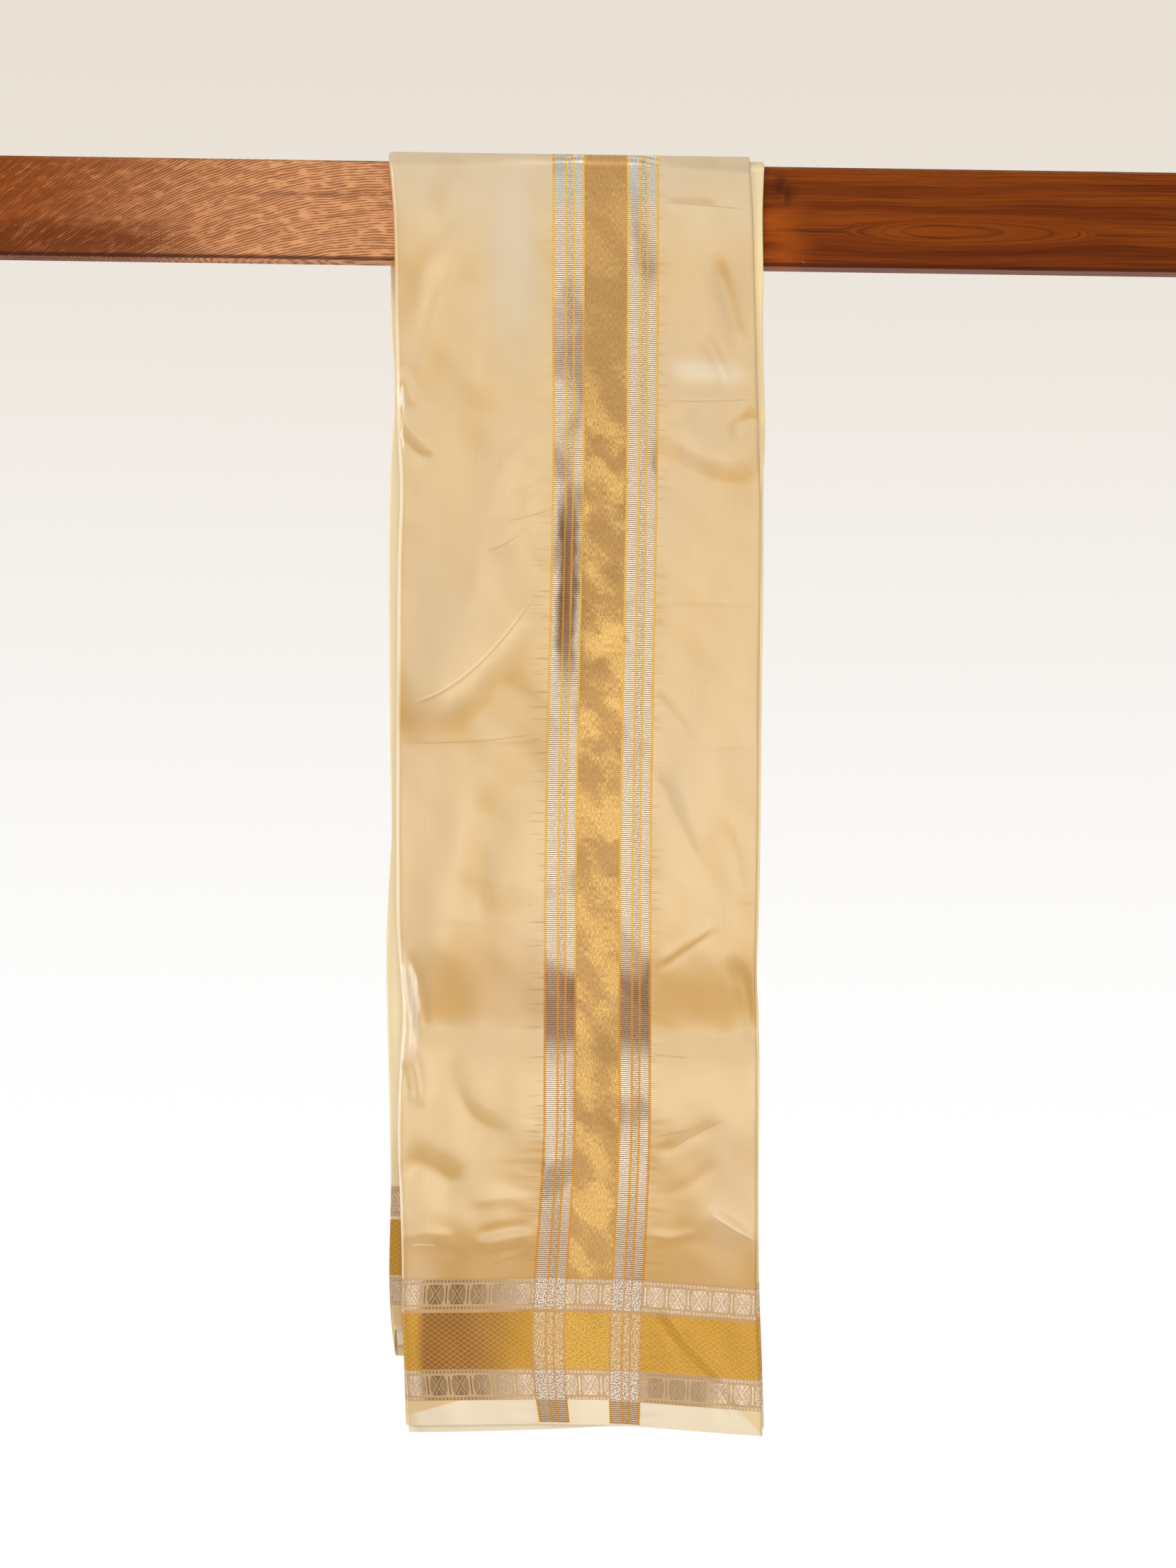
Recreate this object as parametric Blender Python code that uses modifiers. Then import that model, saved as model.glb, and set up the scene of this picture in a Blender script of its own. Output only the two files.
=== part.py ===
"""A silk dhoti folded in four along its length and hung over a wooden rail.

The cloth is one woven length, modelled in the stretches that show: the front fall, the turn over
the rail and the back fall. In each stretch the outer layer is a wall of its own. The three layers
under it are one solid, layered at its side edges and stepped at its hems.

Metres, +Z up. +X runs along the rail to the viewer's right and the front of the cloth faces -Y.
The origin is the centre of the rail, which holds the cloth up.
"""

import math

import bmesh
import bpy

# The rail: dressed timber with eased edges
RAIL_LENGTH = 1.200
RAIL_DEPTH = 0.038
RAIL_HEIGHT = 0.089
RAIL_EDGE = 0.003
RAIL_BEVEL_STEPS = 3

# The cloth's walls. A lift is a distance out from the rail's own surface.
GAP = 0.0003
WALL = 0.0012
HIDDEN_LAYERS = 3
FALL_PITCH = 0.0012
TOP_PITCH = 0.0022

# The long fold at the left of the outer layer, and how far each layer under it starts inside the
# left edge and ends inside the lip, counted from the layer next to the wood
LEFT_FOLD = 0.0036
FOLD_ANGLES = (0, 45, 90)
LEFT_INSETS = (0.0, 0.0021, 0.0030)
LIP_INSETS = (0.0, 0.0007, 0.0014)
ROUNDING = 0.0006
BLUNT = 0.25

# How finely each stretch is divided
FRONT_ROWS = 36
BACK_ROWS = 24
FACE_ROWS = 4
CORNER_ROWS = 3
CROWN_ROWS = 3
COLUMNS = 9
COLUMN_MARGIN = 0.035

# Side edges of the front fall: height, left edge, right edge of the outer layer and of the lip
# that the two innermost layers make beside it
FRONT_EDGES = (
    (0.050, -0.1855, 0.1345, 0.1480),
    (0.000, -0.1810, 0.1385, 0.1475),
    (-0.045, -0.1785, 0.1405, 0.1485),
    (-0.190, -0.1735, 0.1465, 0.1520),
    (-0.300, -0.1710, 0.1500, 0.1530),
    (-0.510, -0.1700, 0.1510, 0.1530),
    (-0.640, -0.1670, 0.1510, 0.1535),
    (-0.712, -0.1615, 0.1515, 0.1545),
    (-0.800, -0.1640, 0.1540, 0.1560),
    (-0.920, -0.1590, 0.1550, 0.1572),
    (-1.084, -0.1530, 0.1635, 0.1645),
)

# Side edges of the back fall, in the same columns
BACK_EDGES = (
    (0.050, -0.1855, 0.1360, 0.1480),
    (-0.045, -0.1840, 0.1400, 0.1470),
    (-0.150, -0.1795, 0.1430, 0.1480),
    (-0.240, -0.1815, 0.1450, 0.1490),
    (-0.440, -0.1805, 0.1470, 0.1500),
    (-0.570, -0.1760, 0.1480, 0.1510),
    (-0.650, -0.1785, 0.1485, 0.1510),
    (-0.850, -0.1730, 0.1500, 0.1530),
    (-1.030, -0.1710, 0.1530, 0.1560),
)

# Heights of the hems: distance along the rail, then the outer, second, third and fourth layer
FRONT_HEMS = (
    (-0.155, -1.0765, -1.0830, -1.0700, -1.0680),
    (-0.030, -1.0735, -1.0785, -1.0690, -1.0670),
    (0.030, -1.0738, -1.0748, -1.0700, -1.0680),
    (0.165, -1.0816, -1.0806, -1.0760, -1.0740),
)
BACK_HEMS = (
    (-0.180, -0.9980, -1.0110, -1.0100, -0.9970),
    (-0.163, -1.0225, -1.0120, -1.0105, -0.9975),
    (0.156, -1.0260, -1.0180, -1.0120, -1.0020),
)

# The largest folds of each fall: middle along the rail, middle height, slope in degrees,
# half length, half width, and how far the fold stands out (a trough stands in)
FRONT_FOLDS = (
    (0.000, -0.696, 0, 0.230, 0.030, -0.0040),
    (0.000, -0.770, 0, 0.260, 0.045, 0.0022),
    (-0.100, -0.378, 42, 0.100, 0.016, 0.0030),
    (-0.085, -0.412, 40, 0.090, 0.020, -0.0030),
    (0.095, -0.640, 33, 0.060, 0.020, 0.0024),
    (-0.050, -0.930, -12, 0.060, 0.018, -0.0030),
    (-0.130, -0.905, 6, 0.050, 0.022, 0.0030),
    (0.125, -0.925, 10, 0.045, 0.022, 0.0028),
    (-0.144, -0.130, 84, 0.090, 0.018, -0.0020),
    (0.090, -0.230, 80, 0.160, 0.040, 0.0024),
    (-0.060, -0.550, 70, 0.130, 0.045, 0.0026),
)
BACK_FOLDS = (
    (0.000, -0.640, 3, 0.240, 0.032, -0.0036),
    (0.070, -0.370, -38, 0.110, 0.018, 0.0028),
    (0.060, -0.405, -36, 0.100, 0.022, -0.0028),
    (-0.060, -0.880, 10, 0.080, 0.022, 0.0028),
    (0.090, -0.860, -8, 0.070, 0.024, -0.0026),
    (-0.050, -0.230, 82, 0.150, 0.040, 0.0024),
)
FOLDS_START = 0.060

# Colours, as linear values
SILK_COLOUR = (0.76, 0.58, 0.31, 1.0)
UNDER_SILK_COLOUR = (0.70, 0.52, 0.27, 1.0)
WOOD_COLOUR = (0.28, 0.09, 0.03, 1.0)
SILK_ROUGHNESS = 0.42
WOOD_ROUGHNESS = 0.55

RAIL_TOP = RAIL_HEIGHT / 2
RAIL_FACE = RAIL_DEPTH / 2
CROWN_HALF = RAIL_FACE - RAIL_EDGE
CORNER_RUN = RAIL_EDGE * math.pi / 2
FACE_RUN = RAIL_HEIGHT - RAIL_EDGE
LOWER_EDGE_RUN = CROWN_HALF + CORNER_RUN + FACE_RUN
OUTER = "outer"
UNDER = "under"
FRONT = 1
BACK = -1


def smooth(value):
    """Runs from 0 to 1 with level ends, and stays there outside them."""
    value = min(max(value, 0.0), 1.0)
    return value * value * (3 - 2 * value)


def read(table, place, column):
    """A column of a table at a place between its rows, which run up or down in their first column."""
    rows = sorted(table)
    if place <= rows[0][0]:
        return rows[0][column]
    for low, high in zip(rows, rows[1:]):
        if place <= high[0]:
            share = (place - low[0]) / (high[0] - low[0])
            return low[column] + (high[column] - low[column]) * share
    return rows[-1][column]


def pitch_at(run):
    """The room that a hidden layer takes: most on the crown, where the folds puff up."""
    share = smooth((LOWER_EDGE_RUN - abs(run)) / FACE_RUN)
    return FALL_PITCH + (TOP_PITCH - FALL_PITCH) * share


def inner_columns(left, right):
    """Places across the cloth that every layer shares, so that the layers never cross."""
    width = right - left
    step = (1 - 2 * COLUMN_MARGIN) / (COLUMNS - 1)
    return [left + width * (COLUMN_MARGIN + step * i) for i in range(COLUMNS)]


def outer_section(pitch, left, right):
    """Outer and inner (x, lift) points across the outer layer, from its left fold to its right edge."""
    low = GAP + HIDDEN_LAYERS * pitch + GAP
    high = low + WALL
    columns = []
    for degrees in FOLD_ANGLES:
        across = math.cos(math.radians(degrees))
        out = math.sin(math.radians(degrees))
        columns.append([
            (left + LEFT_FOLD - across * radius, high - LEFT_FOLD + out * radius)
            for radius in (LEFT_FOLD, LEFT_FOLD - WALL)
        ])
    columns += [[(x, high), (x, low)] for x in inner_columns(left, right)]
    blunt = WALL * BLUNT
    columns.append([(right - ROUNDING, high), (right - ROUNDING, low)])
    columns.append([(right, high - blunt), (right, low + blunt)])
    return columns


def under_section(pitch, left, right, lip):
    """(x, lift) points through the hidden layers, for each place across them.

    Each column runs from the outermost layer to the wood: a level between layers, the middle of
    a layer, the next level, and so on. At the two sides the middles bulge past the levels.
    """
    layers = range(HIDDEN_LAYERS - 1, -1, -1)
    levels = [GAP + HIDDEN_LAYERS * pitch]
    lefts = [left + LEFT_INSETS[HIDDEN_LAYERS - 1] + ROUNDING]
    rights = [lip - LIP_INSETS[HIDDEN_LAYERS - 1] - ROUNDING]
    for layer in layers:
        levels += [GAP + (layer + 0.5) * pitch, GAP + layer * pitch]
        nearest = LEFT_INSETS[layer]
        lefts += [left + nearest, left + nearest + ROUNDING]
        rights += [lip - LIP_INSETS[layer], lip - LIP_INSETS[layer] - ROUNDING]
    columns = [list(zip(lefts, levels))]
    columns += [[(x, level) for level in levels] for x in inner_columns(left, right)]
    columns.append(list(zip(rights, levels)))
    return columns


def stands_out(folds, x, z):
    """How far the folds of a fall move its surface out at a point."""
    total = 0.0
    for middle_x, middle_z, slope, half_length, half_width, height in folds:
        c, s = math.cos(math.radians(slope)), math.sin(math.radians(slope))
        along = (x - middle_x) * c + (z - middle_z) * s
        across = (z - middle_z) * c - (x - middle_x) * s
        total += height * math.exp(-(along / half_length) ** 4 - (across / half_width) ** 2)
    return total * smooth((-RAIL_TOP - z) / FOLDS_START)


def around_rail(run, lift):
    """The (y, z) of a lift over a point on the rail, a run away from the middle of its crown."""
    side = FRONT if run >= 0 else BACK
    far = abs(run)
    if far <= CROWN_HALF:
        return -side * far, RAIL_TOP + lift
    if far <= CROWN_HALF + CORNER_RUN:
        turn = (far - CROWN_HALF) / RAIL_EDGE
        y = CROWN_HALF + (RAIL_EDGE + lift) * math.sin(turn)
        return -side * y, RAIL_TOP - RAIL_EDGE + (RAIL_EDGE + lift) * math.cos(turn)
    z = RAIL_TOP - RAIL_EDGE - (far - CROWN_HALF - CORNER_RUN)
    return -side * (RAIL_FACE + lift), z


def crown_runs():
    """Runs of the rows over the rail, from the back's lower edge to the front's."""
    half = [CROWN_HALF * i / CROWN_ROWS for i in range(CROWN_ROWS)]
    half += [CROWN_HALF + CORNER_RUN * i / CORNER_ROWS for i in range(CORNER_ROWS)]
    half += [CROWN_HALF + CORNER_RUN + FACE_RUN * i / FACE_ROWS for i in range(FACE_ROWS + 1)]
    return [-run for run in half[:0:-1]] + half


def section(layer, pitch, edges):
    """The section of the outer layer, or of the layers under it, between its side edges."""
    left, right, lip = edges
    if layer == OUTER:
        return outer_section(pitch, left, right)
    return under_section(pitch, left, right, lip)


def turn_rows(layer):
    """The rows of a stretch over the rail."""
    rows = []
    for run in crown_runs():
        height = around_rail(run, 0.0)[1]
        front_share = smooth(0.5 + run / (2 * CROWN_HALF))
        edges = [
            front_share * read(FRONT_EDGES, height, column)
            + (1 - front_share) * read(BACK_EDGES, height, column)
            for column in (1, 2, 3)
        ]
        columns = section(layer, pitch_at(run), edges)
        rows.append([[(x, *around_rail(run, lift)) for x, lift in column] for column in columns])
    return rows


def hem_height(hems, layer, x, depth):
    """Where a point of the last row ends: layers end one by one, and the levels between them stop short."""
    if layer == OUTER:
        return read(hems, x, 1)
    if depth % 2:
        return read(hems, x, 2 + depth // 2)
    beside = {min(max(number, 0), HIDDEN_LAYERS - 1) for number in (depth // 2 - 1, depth // 2)}
    return max(read(hems, x, 2 + number) for number in beside) + ROUNDING


def fall_rows(layer, side, count, edges, hems, folds):
    """The rows of a fall, from the rail's lower edge to its hem."""
    start = -RAIL_TOP - GAP
    rows = []
    for i in range(count + 1):
        height = start + (hems[1][1] - start) * i / count
        row = []
        for column in section(layer, FALL_PITCH, [read(edges, height, k) for k in (1, 2, 3)]):
            points = []
            for depth, (x, lift) in enumerate(column):
                hem = read(hems, column[0][0], 1)
                if i == count:
                    hem = hem_height(hems, layer, column[0][0], depth)
                z = start + (hem - start) * i / count
                out = stands_out(folds, column[0][0], z)
                points.append((x, -side * (RAIL_FACE + lift + out), z))
            row.append(points)
        rows.append(row)
    return rows


def skin(bm, points):
    """Closes a block of points, given as rows of columns through its thickness, into one solid."""
    last = (len(points) - 1, len(points[0]) - 1, len(points[0][0]) - 1)
    made = {}

    def corner(*place):
        if place not in made:
            i, j, k = place
            made[place] = bm.verts.new(points[i][j][k])
        return made[place]

    for fixed in range(3):
        first, second = [axis for axis in range(3) if axis != fixed]
        for end in (0, last[fixed]):
            for a in range(last[first]):
                for b in range(last[second]):
                    face = []
                    for u, v in ((a, b), (a + 1, b), (a + 1, b + 1), (a, b + 1)):
                        place = [0, 0, 0]
                        place[fixed], place[first], place[second] = end, u, v
                        face.append(corner(*place))
                    bm.faces.new(face)
    bmesh.ops.recalc_face_normals(bm, faces=bm.faces)


def material(name, colour, roughness):
    """A Principled material with one colour."""
    made = bpy.data.materials.new(name)
    made.use_nodes = True
    shader = made.node_tree.nodes["Principled BSDF"]
    shader.inputs["Base Color"].default_value = colour
    shader.inputs["Roughness"].default_value = roughness
    shader.inputs["Metallic"].default_value = 0.0
    return made


def mesh_object(name, bm, parts, finish):
    """Puts a bmesh into a new object in the parts' collection."""
    mesh = bpy.data.meshes.new(name)
    bm.to_mesh(mesh)
    bm.free()
    mesh.shade_smooth()
    mesh.set_sharp_from_angle(angle=math.radians(50))
    made = bpy.data.objects.new(name, mesh)
    mesh.materials.append(finish)
    parts.objects.link(made)
    return made


def cloth_object(name, points, parts, finish):
    """One solid of cloth as an object."""
    bm = bmesh.new()
    skin(bm, points)
    return mesh_object(name, bm, parts, finish)


def make_rail(parts):
    """The rail, a straight length of timber with its edges eased."""
    bm = bmesh.new()
    bmesh.ops.create_cube(bm, size=1.0)
    bmesh.ops.scale(bm, vec=(RAIL_LENGTH, RAIL_DEPTH, RAIL_HEIGHT), verts=bm.verts)
    rail = mesh_object("rail", bm, parts, material("rail wood", WOOD_COLOUR, WOOD_ROUGHNESS))
    ease = rail.modifiers.new("eased edges", "BEVEL")
    ease.width = RAIL_EDGE
    ease.segments = RAIL_BEVEL_STEPS
    ease.limit_method = "ANGLE"
    return rail


def make_cloth(parts):
    """All stretches of the cloth, the outer layer and the layers under it."""
    stretches = {
        "front_fall": lambda layer: fall_rows(
            layer, FRONT, FRONT_ROWS, FRONT_EDGES, FRONT_HEMS, FRONT_FOLDS
        ),
        "over_rail": turn_rows,
        "back_fall": lambda layer: fall_rows(
            layer, BACK, BACK_ROWS, BACK_EDGES, BACK_HEMS, BACK_FOLDS
        ),
    }
    for stretch, rows_of in stretches.items():
        for layer, colour in ((OUTER, SILK_COLOUR), (UNDER, UNDER_SILK_COLOUR)):
            finish = material(f"{layer} {stretch} silk", colour, SILK_ROUGHNESS)
            cloth_object(f"{layer}_{stretch}", rows_of(layer), parts, finish)


def make_part():
    """Clears the file and models the rail and the cloth on it."""
    for old in list(bpy.data.objects):
        bpy.data.objects.remove(old, do_unlink=True)
    parts = bpy.data.collections.new("folded dhoti on rail")
    bpy.context.scene.collection.children.link(parts)
    make_rail(parts)
    make_cloth(parts)


make_part()
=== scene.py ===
import math

import bpy
import numpy as np
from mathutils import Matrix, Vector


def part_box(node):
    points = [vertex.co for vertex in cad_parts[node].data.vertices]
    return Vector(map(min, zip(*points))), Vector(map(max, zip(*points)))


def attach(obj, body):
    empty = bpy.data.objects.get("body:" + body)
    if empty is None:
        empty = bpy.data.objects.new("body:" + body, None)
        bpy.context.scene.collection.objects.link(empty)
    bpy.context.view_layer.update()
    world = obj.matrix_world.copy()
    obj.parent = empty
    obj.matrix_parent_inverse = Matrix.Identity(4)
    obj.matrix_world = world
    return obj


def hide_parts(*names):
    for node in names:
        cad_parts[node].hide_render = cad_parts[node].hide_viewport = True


# A silk dhoti folded in four along its length and hung over a wooden rail. The cloth is built as
# the one folded sheet that it is, in three pieces: the outer layer with the two long folds at its
# sides, the two middle layers, and the innermost layer. Metres, +Z up, the front faces -Y. The
# tables of the cloth's form are in millimetres.

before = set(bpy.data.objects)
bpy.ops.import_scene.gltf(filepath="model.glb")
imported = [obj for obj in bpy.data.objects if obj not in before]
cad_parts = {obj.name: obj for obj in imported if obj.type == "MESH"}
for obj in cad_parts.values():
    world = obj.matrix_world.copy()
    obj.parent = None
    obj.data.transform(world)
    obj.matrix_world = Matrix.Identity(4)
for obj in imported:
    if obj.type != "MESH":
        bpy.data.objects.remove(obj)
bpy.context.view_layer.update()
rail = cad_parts["rail"]
rail_low, rail_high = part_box("rail")

# The rail and the room that the layers take on it. A lift is a distance out from the rail.
RAIL_TOP = rail_high.z
RAIL_FACE = rail_high.y
RAIL_EDGE = 0.003
MM = 0.001
GAP = 0.0003
WALL = 0.0012
HIDDEN_LAYERS = 3
FALL_PITCH = 0.0012
TOP_PITCH = 0.0022
LAYER_PLACE = 0.75
LEFT_FOLD = 0.0036
LEFT_INSET = 0.0030
LIP_INSET = 0.0007
JOIN_LEFT = 0.014
JOIN_RIGHT = 0.012
OUTER_SWAY = 0.0016
MIDDLE_SWAY = 0.0008

CROWN_HALF = RAIL_FACE - RAIL_EDGE
CORNER_RUN = RAIL_EDGE * math.pi / 2
FACE_RUN = rail_high.z - rail_low.z - RAIL_EDGE
LOWER_EDGE_RUN = CROWN_HALF + CORNER_RUN + FACE_RUN
FRONT = 1
BACK = -1

# Rows along the cloth and columns across it
FRONT_ROWS = 440
BACK_ROWS = 200
FACE_ROWS = 36
CORNER_ROWS = 6
CROWN_ROWS = 6
PANEL_COLUMNS = 48
BORDER_COLUMNS = 24
RIGHT_COLUMNS = 34
HIDDEN_COLUMNS = 20
HIDDEN_STEP = 2
FIRST_FACE_COLUMN = 5

# Side edges of the front fall: height, left edge, border's left edge, border's right edge,
# right edge of the outer layer, and the lip of the innermost layers
FRONT_EDGES = (
    (50, -185.5, -39.7, 54.4, 134.5, 148.5),
    (0, -180.5, -38.6, 55.4, 138.5, 147.5),
    (-45, -178.5, -38, 56, 140.5, 148.7),
    (-115, -176, -37.2, 56.7, 143.2, 149.6),
    (-190, -173.5, -35.7, 57.4, 146.5, 152.5),
    (-245, -170.5, -35.4, 57.6, 148.8, 151.8),
    (-310, -171.2, -35.8, 57.5, 149.8, 152.8),
    (-410, -170.6, -36.7, 57.2, 150.4, 153.1),
    (-510, -169.8, -37.4, 57, 151, 153.4),
    (-576, -168.8, -37.4, 57.3, 151.2, 153.7),
    (-640, -167.2, -36.8, 57.9, 150.8, 153),
    (-675, -164.2, -36.4, 58.3, 150.6, 152.4),
    (-712, -161.2, -36, 58.8, 152, 154.5),
    (-760, -163, -35.5, 59.3, 153.6, 155.8),
    (-820, -164, -35.1, 59.7, 154.5, 156.2),
    (-885, -161, -37.8, 58.3, 155, 157),
    (-940, -158.8, -41, 56.3, 155.6, 158),
    (-968, -158.6, -42.4, 55.4, 156.8, 159.2),
    (-1027, -155.5, -41.5, 54.5, 160.5, 162.2),
    (-1084, -153, -33, 53.8, 163.5, 164.6),
)

# Side edges of the back fall, in the same columns
BACK_EDGES = (
    (50, -185.5, -39.7, 54.4, 136, 148),
    (-45, -183.8, -39.2, 55, 140, 147),
    (-105, -182.2, -38.5, 55.6, 141.5, 147.5),
    (-150, -179, -37.8, 56.2, 143, 148),
    (-240, -181.5, -37, 56.9, 145, 149),
    (-357, -181, -36.2, 57.7, 146.2, 149.6),
    (-486, -178, -35.8, 58.3, 147.3, 150.2),
    (-572, -176, -35.5, 58.8, 148, 151),
    (-648, -178.6, -35.8, 59, 148.4, 151),
    (-780, -175.1, -36.5, 58.6, 149.4, 152),
    (-878, -171.6, -37.2, 58, 150.4, 153.4),
    (-990, -170.6, -37.9, 57.5, 152.4, 155.1),
    (-1008, -169, -38, 57.4, 152.7, 155.5),
    (-1030, -165.5, -38, 57.4, 153, 156),
)
LEFT, BORDER_LEFT, BORDER_RIGHT, RIGHT, LIP = range(1, 6)

# Heights of the hems: place along the rail, then the outer, second, third and fourth layer
FRONT_HEMS = (
    (-155, -1076.5, -1083, -1070, -1068),
    (-95, -1075, -1081.2, -1069.6, -1067.5),
    (-30, -1073.5, -1078.5, -1069, -1067),
    (30, -1073.8, -1074.8, -1070, -1068),
    (110, -1078.2, -1077.8, -1072.5, -1070.5),
    (165, -1081.6, -1080.6, -1076, -1074),
)
BACK_HEMS = (
    (-180, -1021.2, -1011, -1010, -998),
    (0, -1025, -1016, -1011.5, -1000),
    (156, -1026, -1018, -1012, -1002),
)

# Soft folds: middle along the rail, middle height, slope in degrees, half length, half width,
# and how far the fold stands out (less than 0 in a trough)
FRONT_FOLDS = (
    (0, -775, 0, 260, 50, 2.2),
    (90, -240, 80, 160, 45, 1.6),
    (-70, -800, 12, 60, 50, 1.4),
    (110, -800, -8, 60, 45, 1),
    (105, -470, 70, 120, 35, 1),
    (10, -400, 86, 330, 30, 0.9),
    (-125, -330, 80, 90, 26, 1.6),
    (-120, -600, 84, 80, 30, 1.6),
    (-20, -300, 10, 30, 18, 0.6),
    (10, -345, -6, 30, 16, -0.7),
    (12, -410, 8, 30, 18, 0.6),
    (8, -480, 0, 30, 18, -0.6),
    (100, -711, -6, 46, 30, -1.3),
    (-94, -708, 2, 54, 32, -1.1),
)
BACK_FOLDS = (
    (0, -640, 3, 240, 32, -3.6),
    (70, -370, -38, 110, 18, 2.8),
    (60, -405, -36, 100, 22, -2.8),
    (-60, -880, 10, 80, 22, 2.8),
    (90, -860, -8, 70, 24, -2.6),
    (-50, -230, 82, 150, 40, 2.4),
)

# Creases along a route: how far it stands out, how wide it is on its left-hand and on its
# right-hand side, and then the route's own points (place along the rail, height)
FRONT_CREASES = (
    # the billow at the left and the ridge that ends it
    (3.6, 60, 21, (-172, -452), (-127, -428), (-100, -404), (-80, -378), (-61, -352), (-34, -322)),
    (-1.2, 20, 40, (-172, -480), (-126, -462), (-92, -442), (-74, -410), (-50, -385)),
    (2.1, 38, 14, (-34, -176), (-58, -199), (-78, -226), (-90, -262), (-97, -310), (-98, -360)),
    (-0.8, 10, 20, (-36, -200), (-58, -218), (-68, -250), (-70, -290)),
    (-0.3, 5, 6, (-80, -256), (-55, -247), (-36, -233)),
    (-0.3, 4, 6, (-92, -304), (-72, -292), (-52, -278)),
    # under the rail at the left
    (-1.3, 12, 14, (-112, 46), (-132, 20), (-141, -30), (-158, -70), (-162, -140)),
    (1.6, 16, 10, (-112, 20), (-128, -45), (-147, -100), (-156, -170)),
    (-0.5, 13, 13, (-75, -100), (-73, -150), (-74, -200)),
    (0.9, 18, 18, (-100, -60), (-104, -120), (-110, -180)),
    (0.9, 5, 6, (-172, -180), (-160, -197), (-146, -206)),
    (-0.9, 5, 8, (-170, -196), (-158, -214), (-138, -222)),
    (0.8, 5, 6, (-174, -140), (-164, -158), (-158, -176)),
    # the right panel, from the top down
    (-0.6, 3, 4, (58, 10), (85, 9), (110, 7)),
    (-1, 7, 9, (104, -30), (118, -75), (134, -128)),
    (-0.8, 6, 7, (94, -100), (108, -127), (123, -158)),
    (1.6, 34, 12, (50, -172), (68, -195), (96, -210), (150, -222)),
    (-1, 12, 44, (58, -190), (80, -222), (112, -236), (156, -238)),
    (-1.1, 7, 10, (118, -188), (130, -186), (148, -176)),
    (-0.4, 5, 7, (53, -420), (74, -443), (94, -468)),
    (-0.5, 6, 10, (50, -480), (72, -523), (91, -560), (106, -592)),
    (0.5, 10, 8, (66, -480), (90, -525), (110, -565)),
    (-0.3, 5, 7, (120, -532), (132, -570), (140, -606)),
    # the soft upright fold in the middle of the left panel
    (-1.3, 18, 18, (-78, -500), (-92, -551), (-102, -632)),
    (1.1, 28, 20, (-56, -505), (-68, -560), (-76, -625)),
    # the broad trough right across, with its sharper lower side
    (-2.4, 52, 24, (-260, -716), (-150, -719), (-40, -724), (60, -724), (150, -722), (260, -720)),
    (-0.3, 3.5, 4.5, (56, -676), (88, -653), (120, -632)),
    (0.3, 6, 4, (60, -668), (92, -645), (120, -625)),
    (-1.4, 8, 9, (122, -656), (137, -676), (146, -706), (154, -746)),
    # the lower half of the left panel
    (-1.3, 9, 26, (-122, -733), (-115, -774), (-98, -803), (-61, -822)),
    (-1.6, 6, 7, (-162, -750), (-157, -770), (-153, -794)),
    (1, 6, 7, (-153, -742), (-147, -768), (-144, -798)),
    (1.1, 5, 6, (-168, -650), (-159, -690), (-150, -744)),
    (-0.9, 6, 8, (-158, -652), (-148, -690), (-140, -744)),
    (-1.6, 15, 18, (-164, -838), (-135, -850), (-100, -868)),
    (0.5, 7, 7, (-104, -878), (-70, -873), (-38, -879)),
    (0.6, 5, 8, (-164, -915), (-140, -906), (-108, -910)),
    (-0.5, 5, 6, (-98, -908), (-66, -900), (-38, -896)),
    (0.5, 5, 5, (-98, -918), (-66, -910), (-38, -906)),
    (-0.6, 5, 6, (-92, -930), (-64, -922), (-38, -915)),
    (-0.5, 5, 6, (-152, -930), (-125, -922), (-98, -926)),
    # the lower half of the right panel
    (-0.4, 6, 6, (62, -836), (94, -818), (128, -802)),
    (-0.3, 6, 6, (74, -868), (98, -858), (124, -836)),
    (0.8, 5, 9, (108, -882), (130, -893), (154, -910)),
    (-0.9, 13, 14, (74, -898), (118, -917), (156, -926)),
    (0.4, 5, 5, (56, -905), (80, -907), (106, -900)),
    # across the end band to the right corner
    (-0.8, 4, 4, (60, -966), (88, -1004), (117, -1035), (152, -1080)),
    (0.8, 5, 4, (68, -964), (96, -1001), (125, -1031), (156, -1070)),
    # along the left silver stripe
    (-2.2, 9, 8, (-22, -225), (-17, -330), (-21, -430)),
    (0.7, 6, 8, (-12, -236), (-9, -330), (-10, -420)),
    # the softly dented gold band
    (-0.9, 12, 12, (-10, -180), (10, -196), (34, -206)),
    (0.8, 10, 10, (-4, -212), (18, -224), (36, -240)),
    (-0.8, 12, 12, (-8, -262), (14, -270), (34, -258)),
    (-0.7, 10, 12, (-8, -330), (8, -318), (30, -300)),
    (-0.8, 12, 12, (-6, -402), (14, -388), (34, -372)),
    (-0.4, 12, 12, (-6, -468), (12, -470), (26, -458)),
    (-0.6, 10, 10, (-8, -600), (12, -590), (32, -596)),
    (-0.7, 12, 12, (-10, -800), (10, -812), (30, -806)),
)
BACK_CREASES = (
    (1.6, 12, 8, (125, -60), (146, -120), (140, -190)),
    (-1.7, 8, 11, (110, -50), (118, -120), (100, -190)),
    (-1.3, 4, 6, (-150, -90), (-110, -130), (-75, -142)),
    (1.4, 12, 6, (-160, -300), (-110, -322), (-50, -310)),
    (-1.4, 6, 10, (-160, -316), (-110, -340), (-50, -330)),
    (-2, 12, 14, (-110, -440), (-120, -500), (-112, -570)),
    (1.4, 10, 14, (80, -470), (104, -530), (110, -590)),
    (-1.3, 3, 4, (50, -690), (85, -712), (140, -700)),
    (1.2, 4, 4, (-150, -730), (-110, -742), (-70, -728)),
    (-1.8, 10, 10, (-150, -800), (-100, -812), (-60, -830)),
    (-1.5, 4, 6, (60, -800), (100, -820), (146, -815)),
    (1.6, 4, 6, (-150, -868), (-110, -862), (-70, -872)),
)

CREASE_STRENGTH = 1.25

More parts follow.
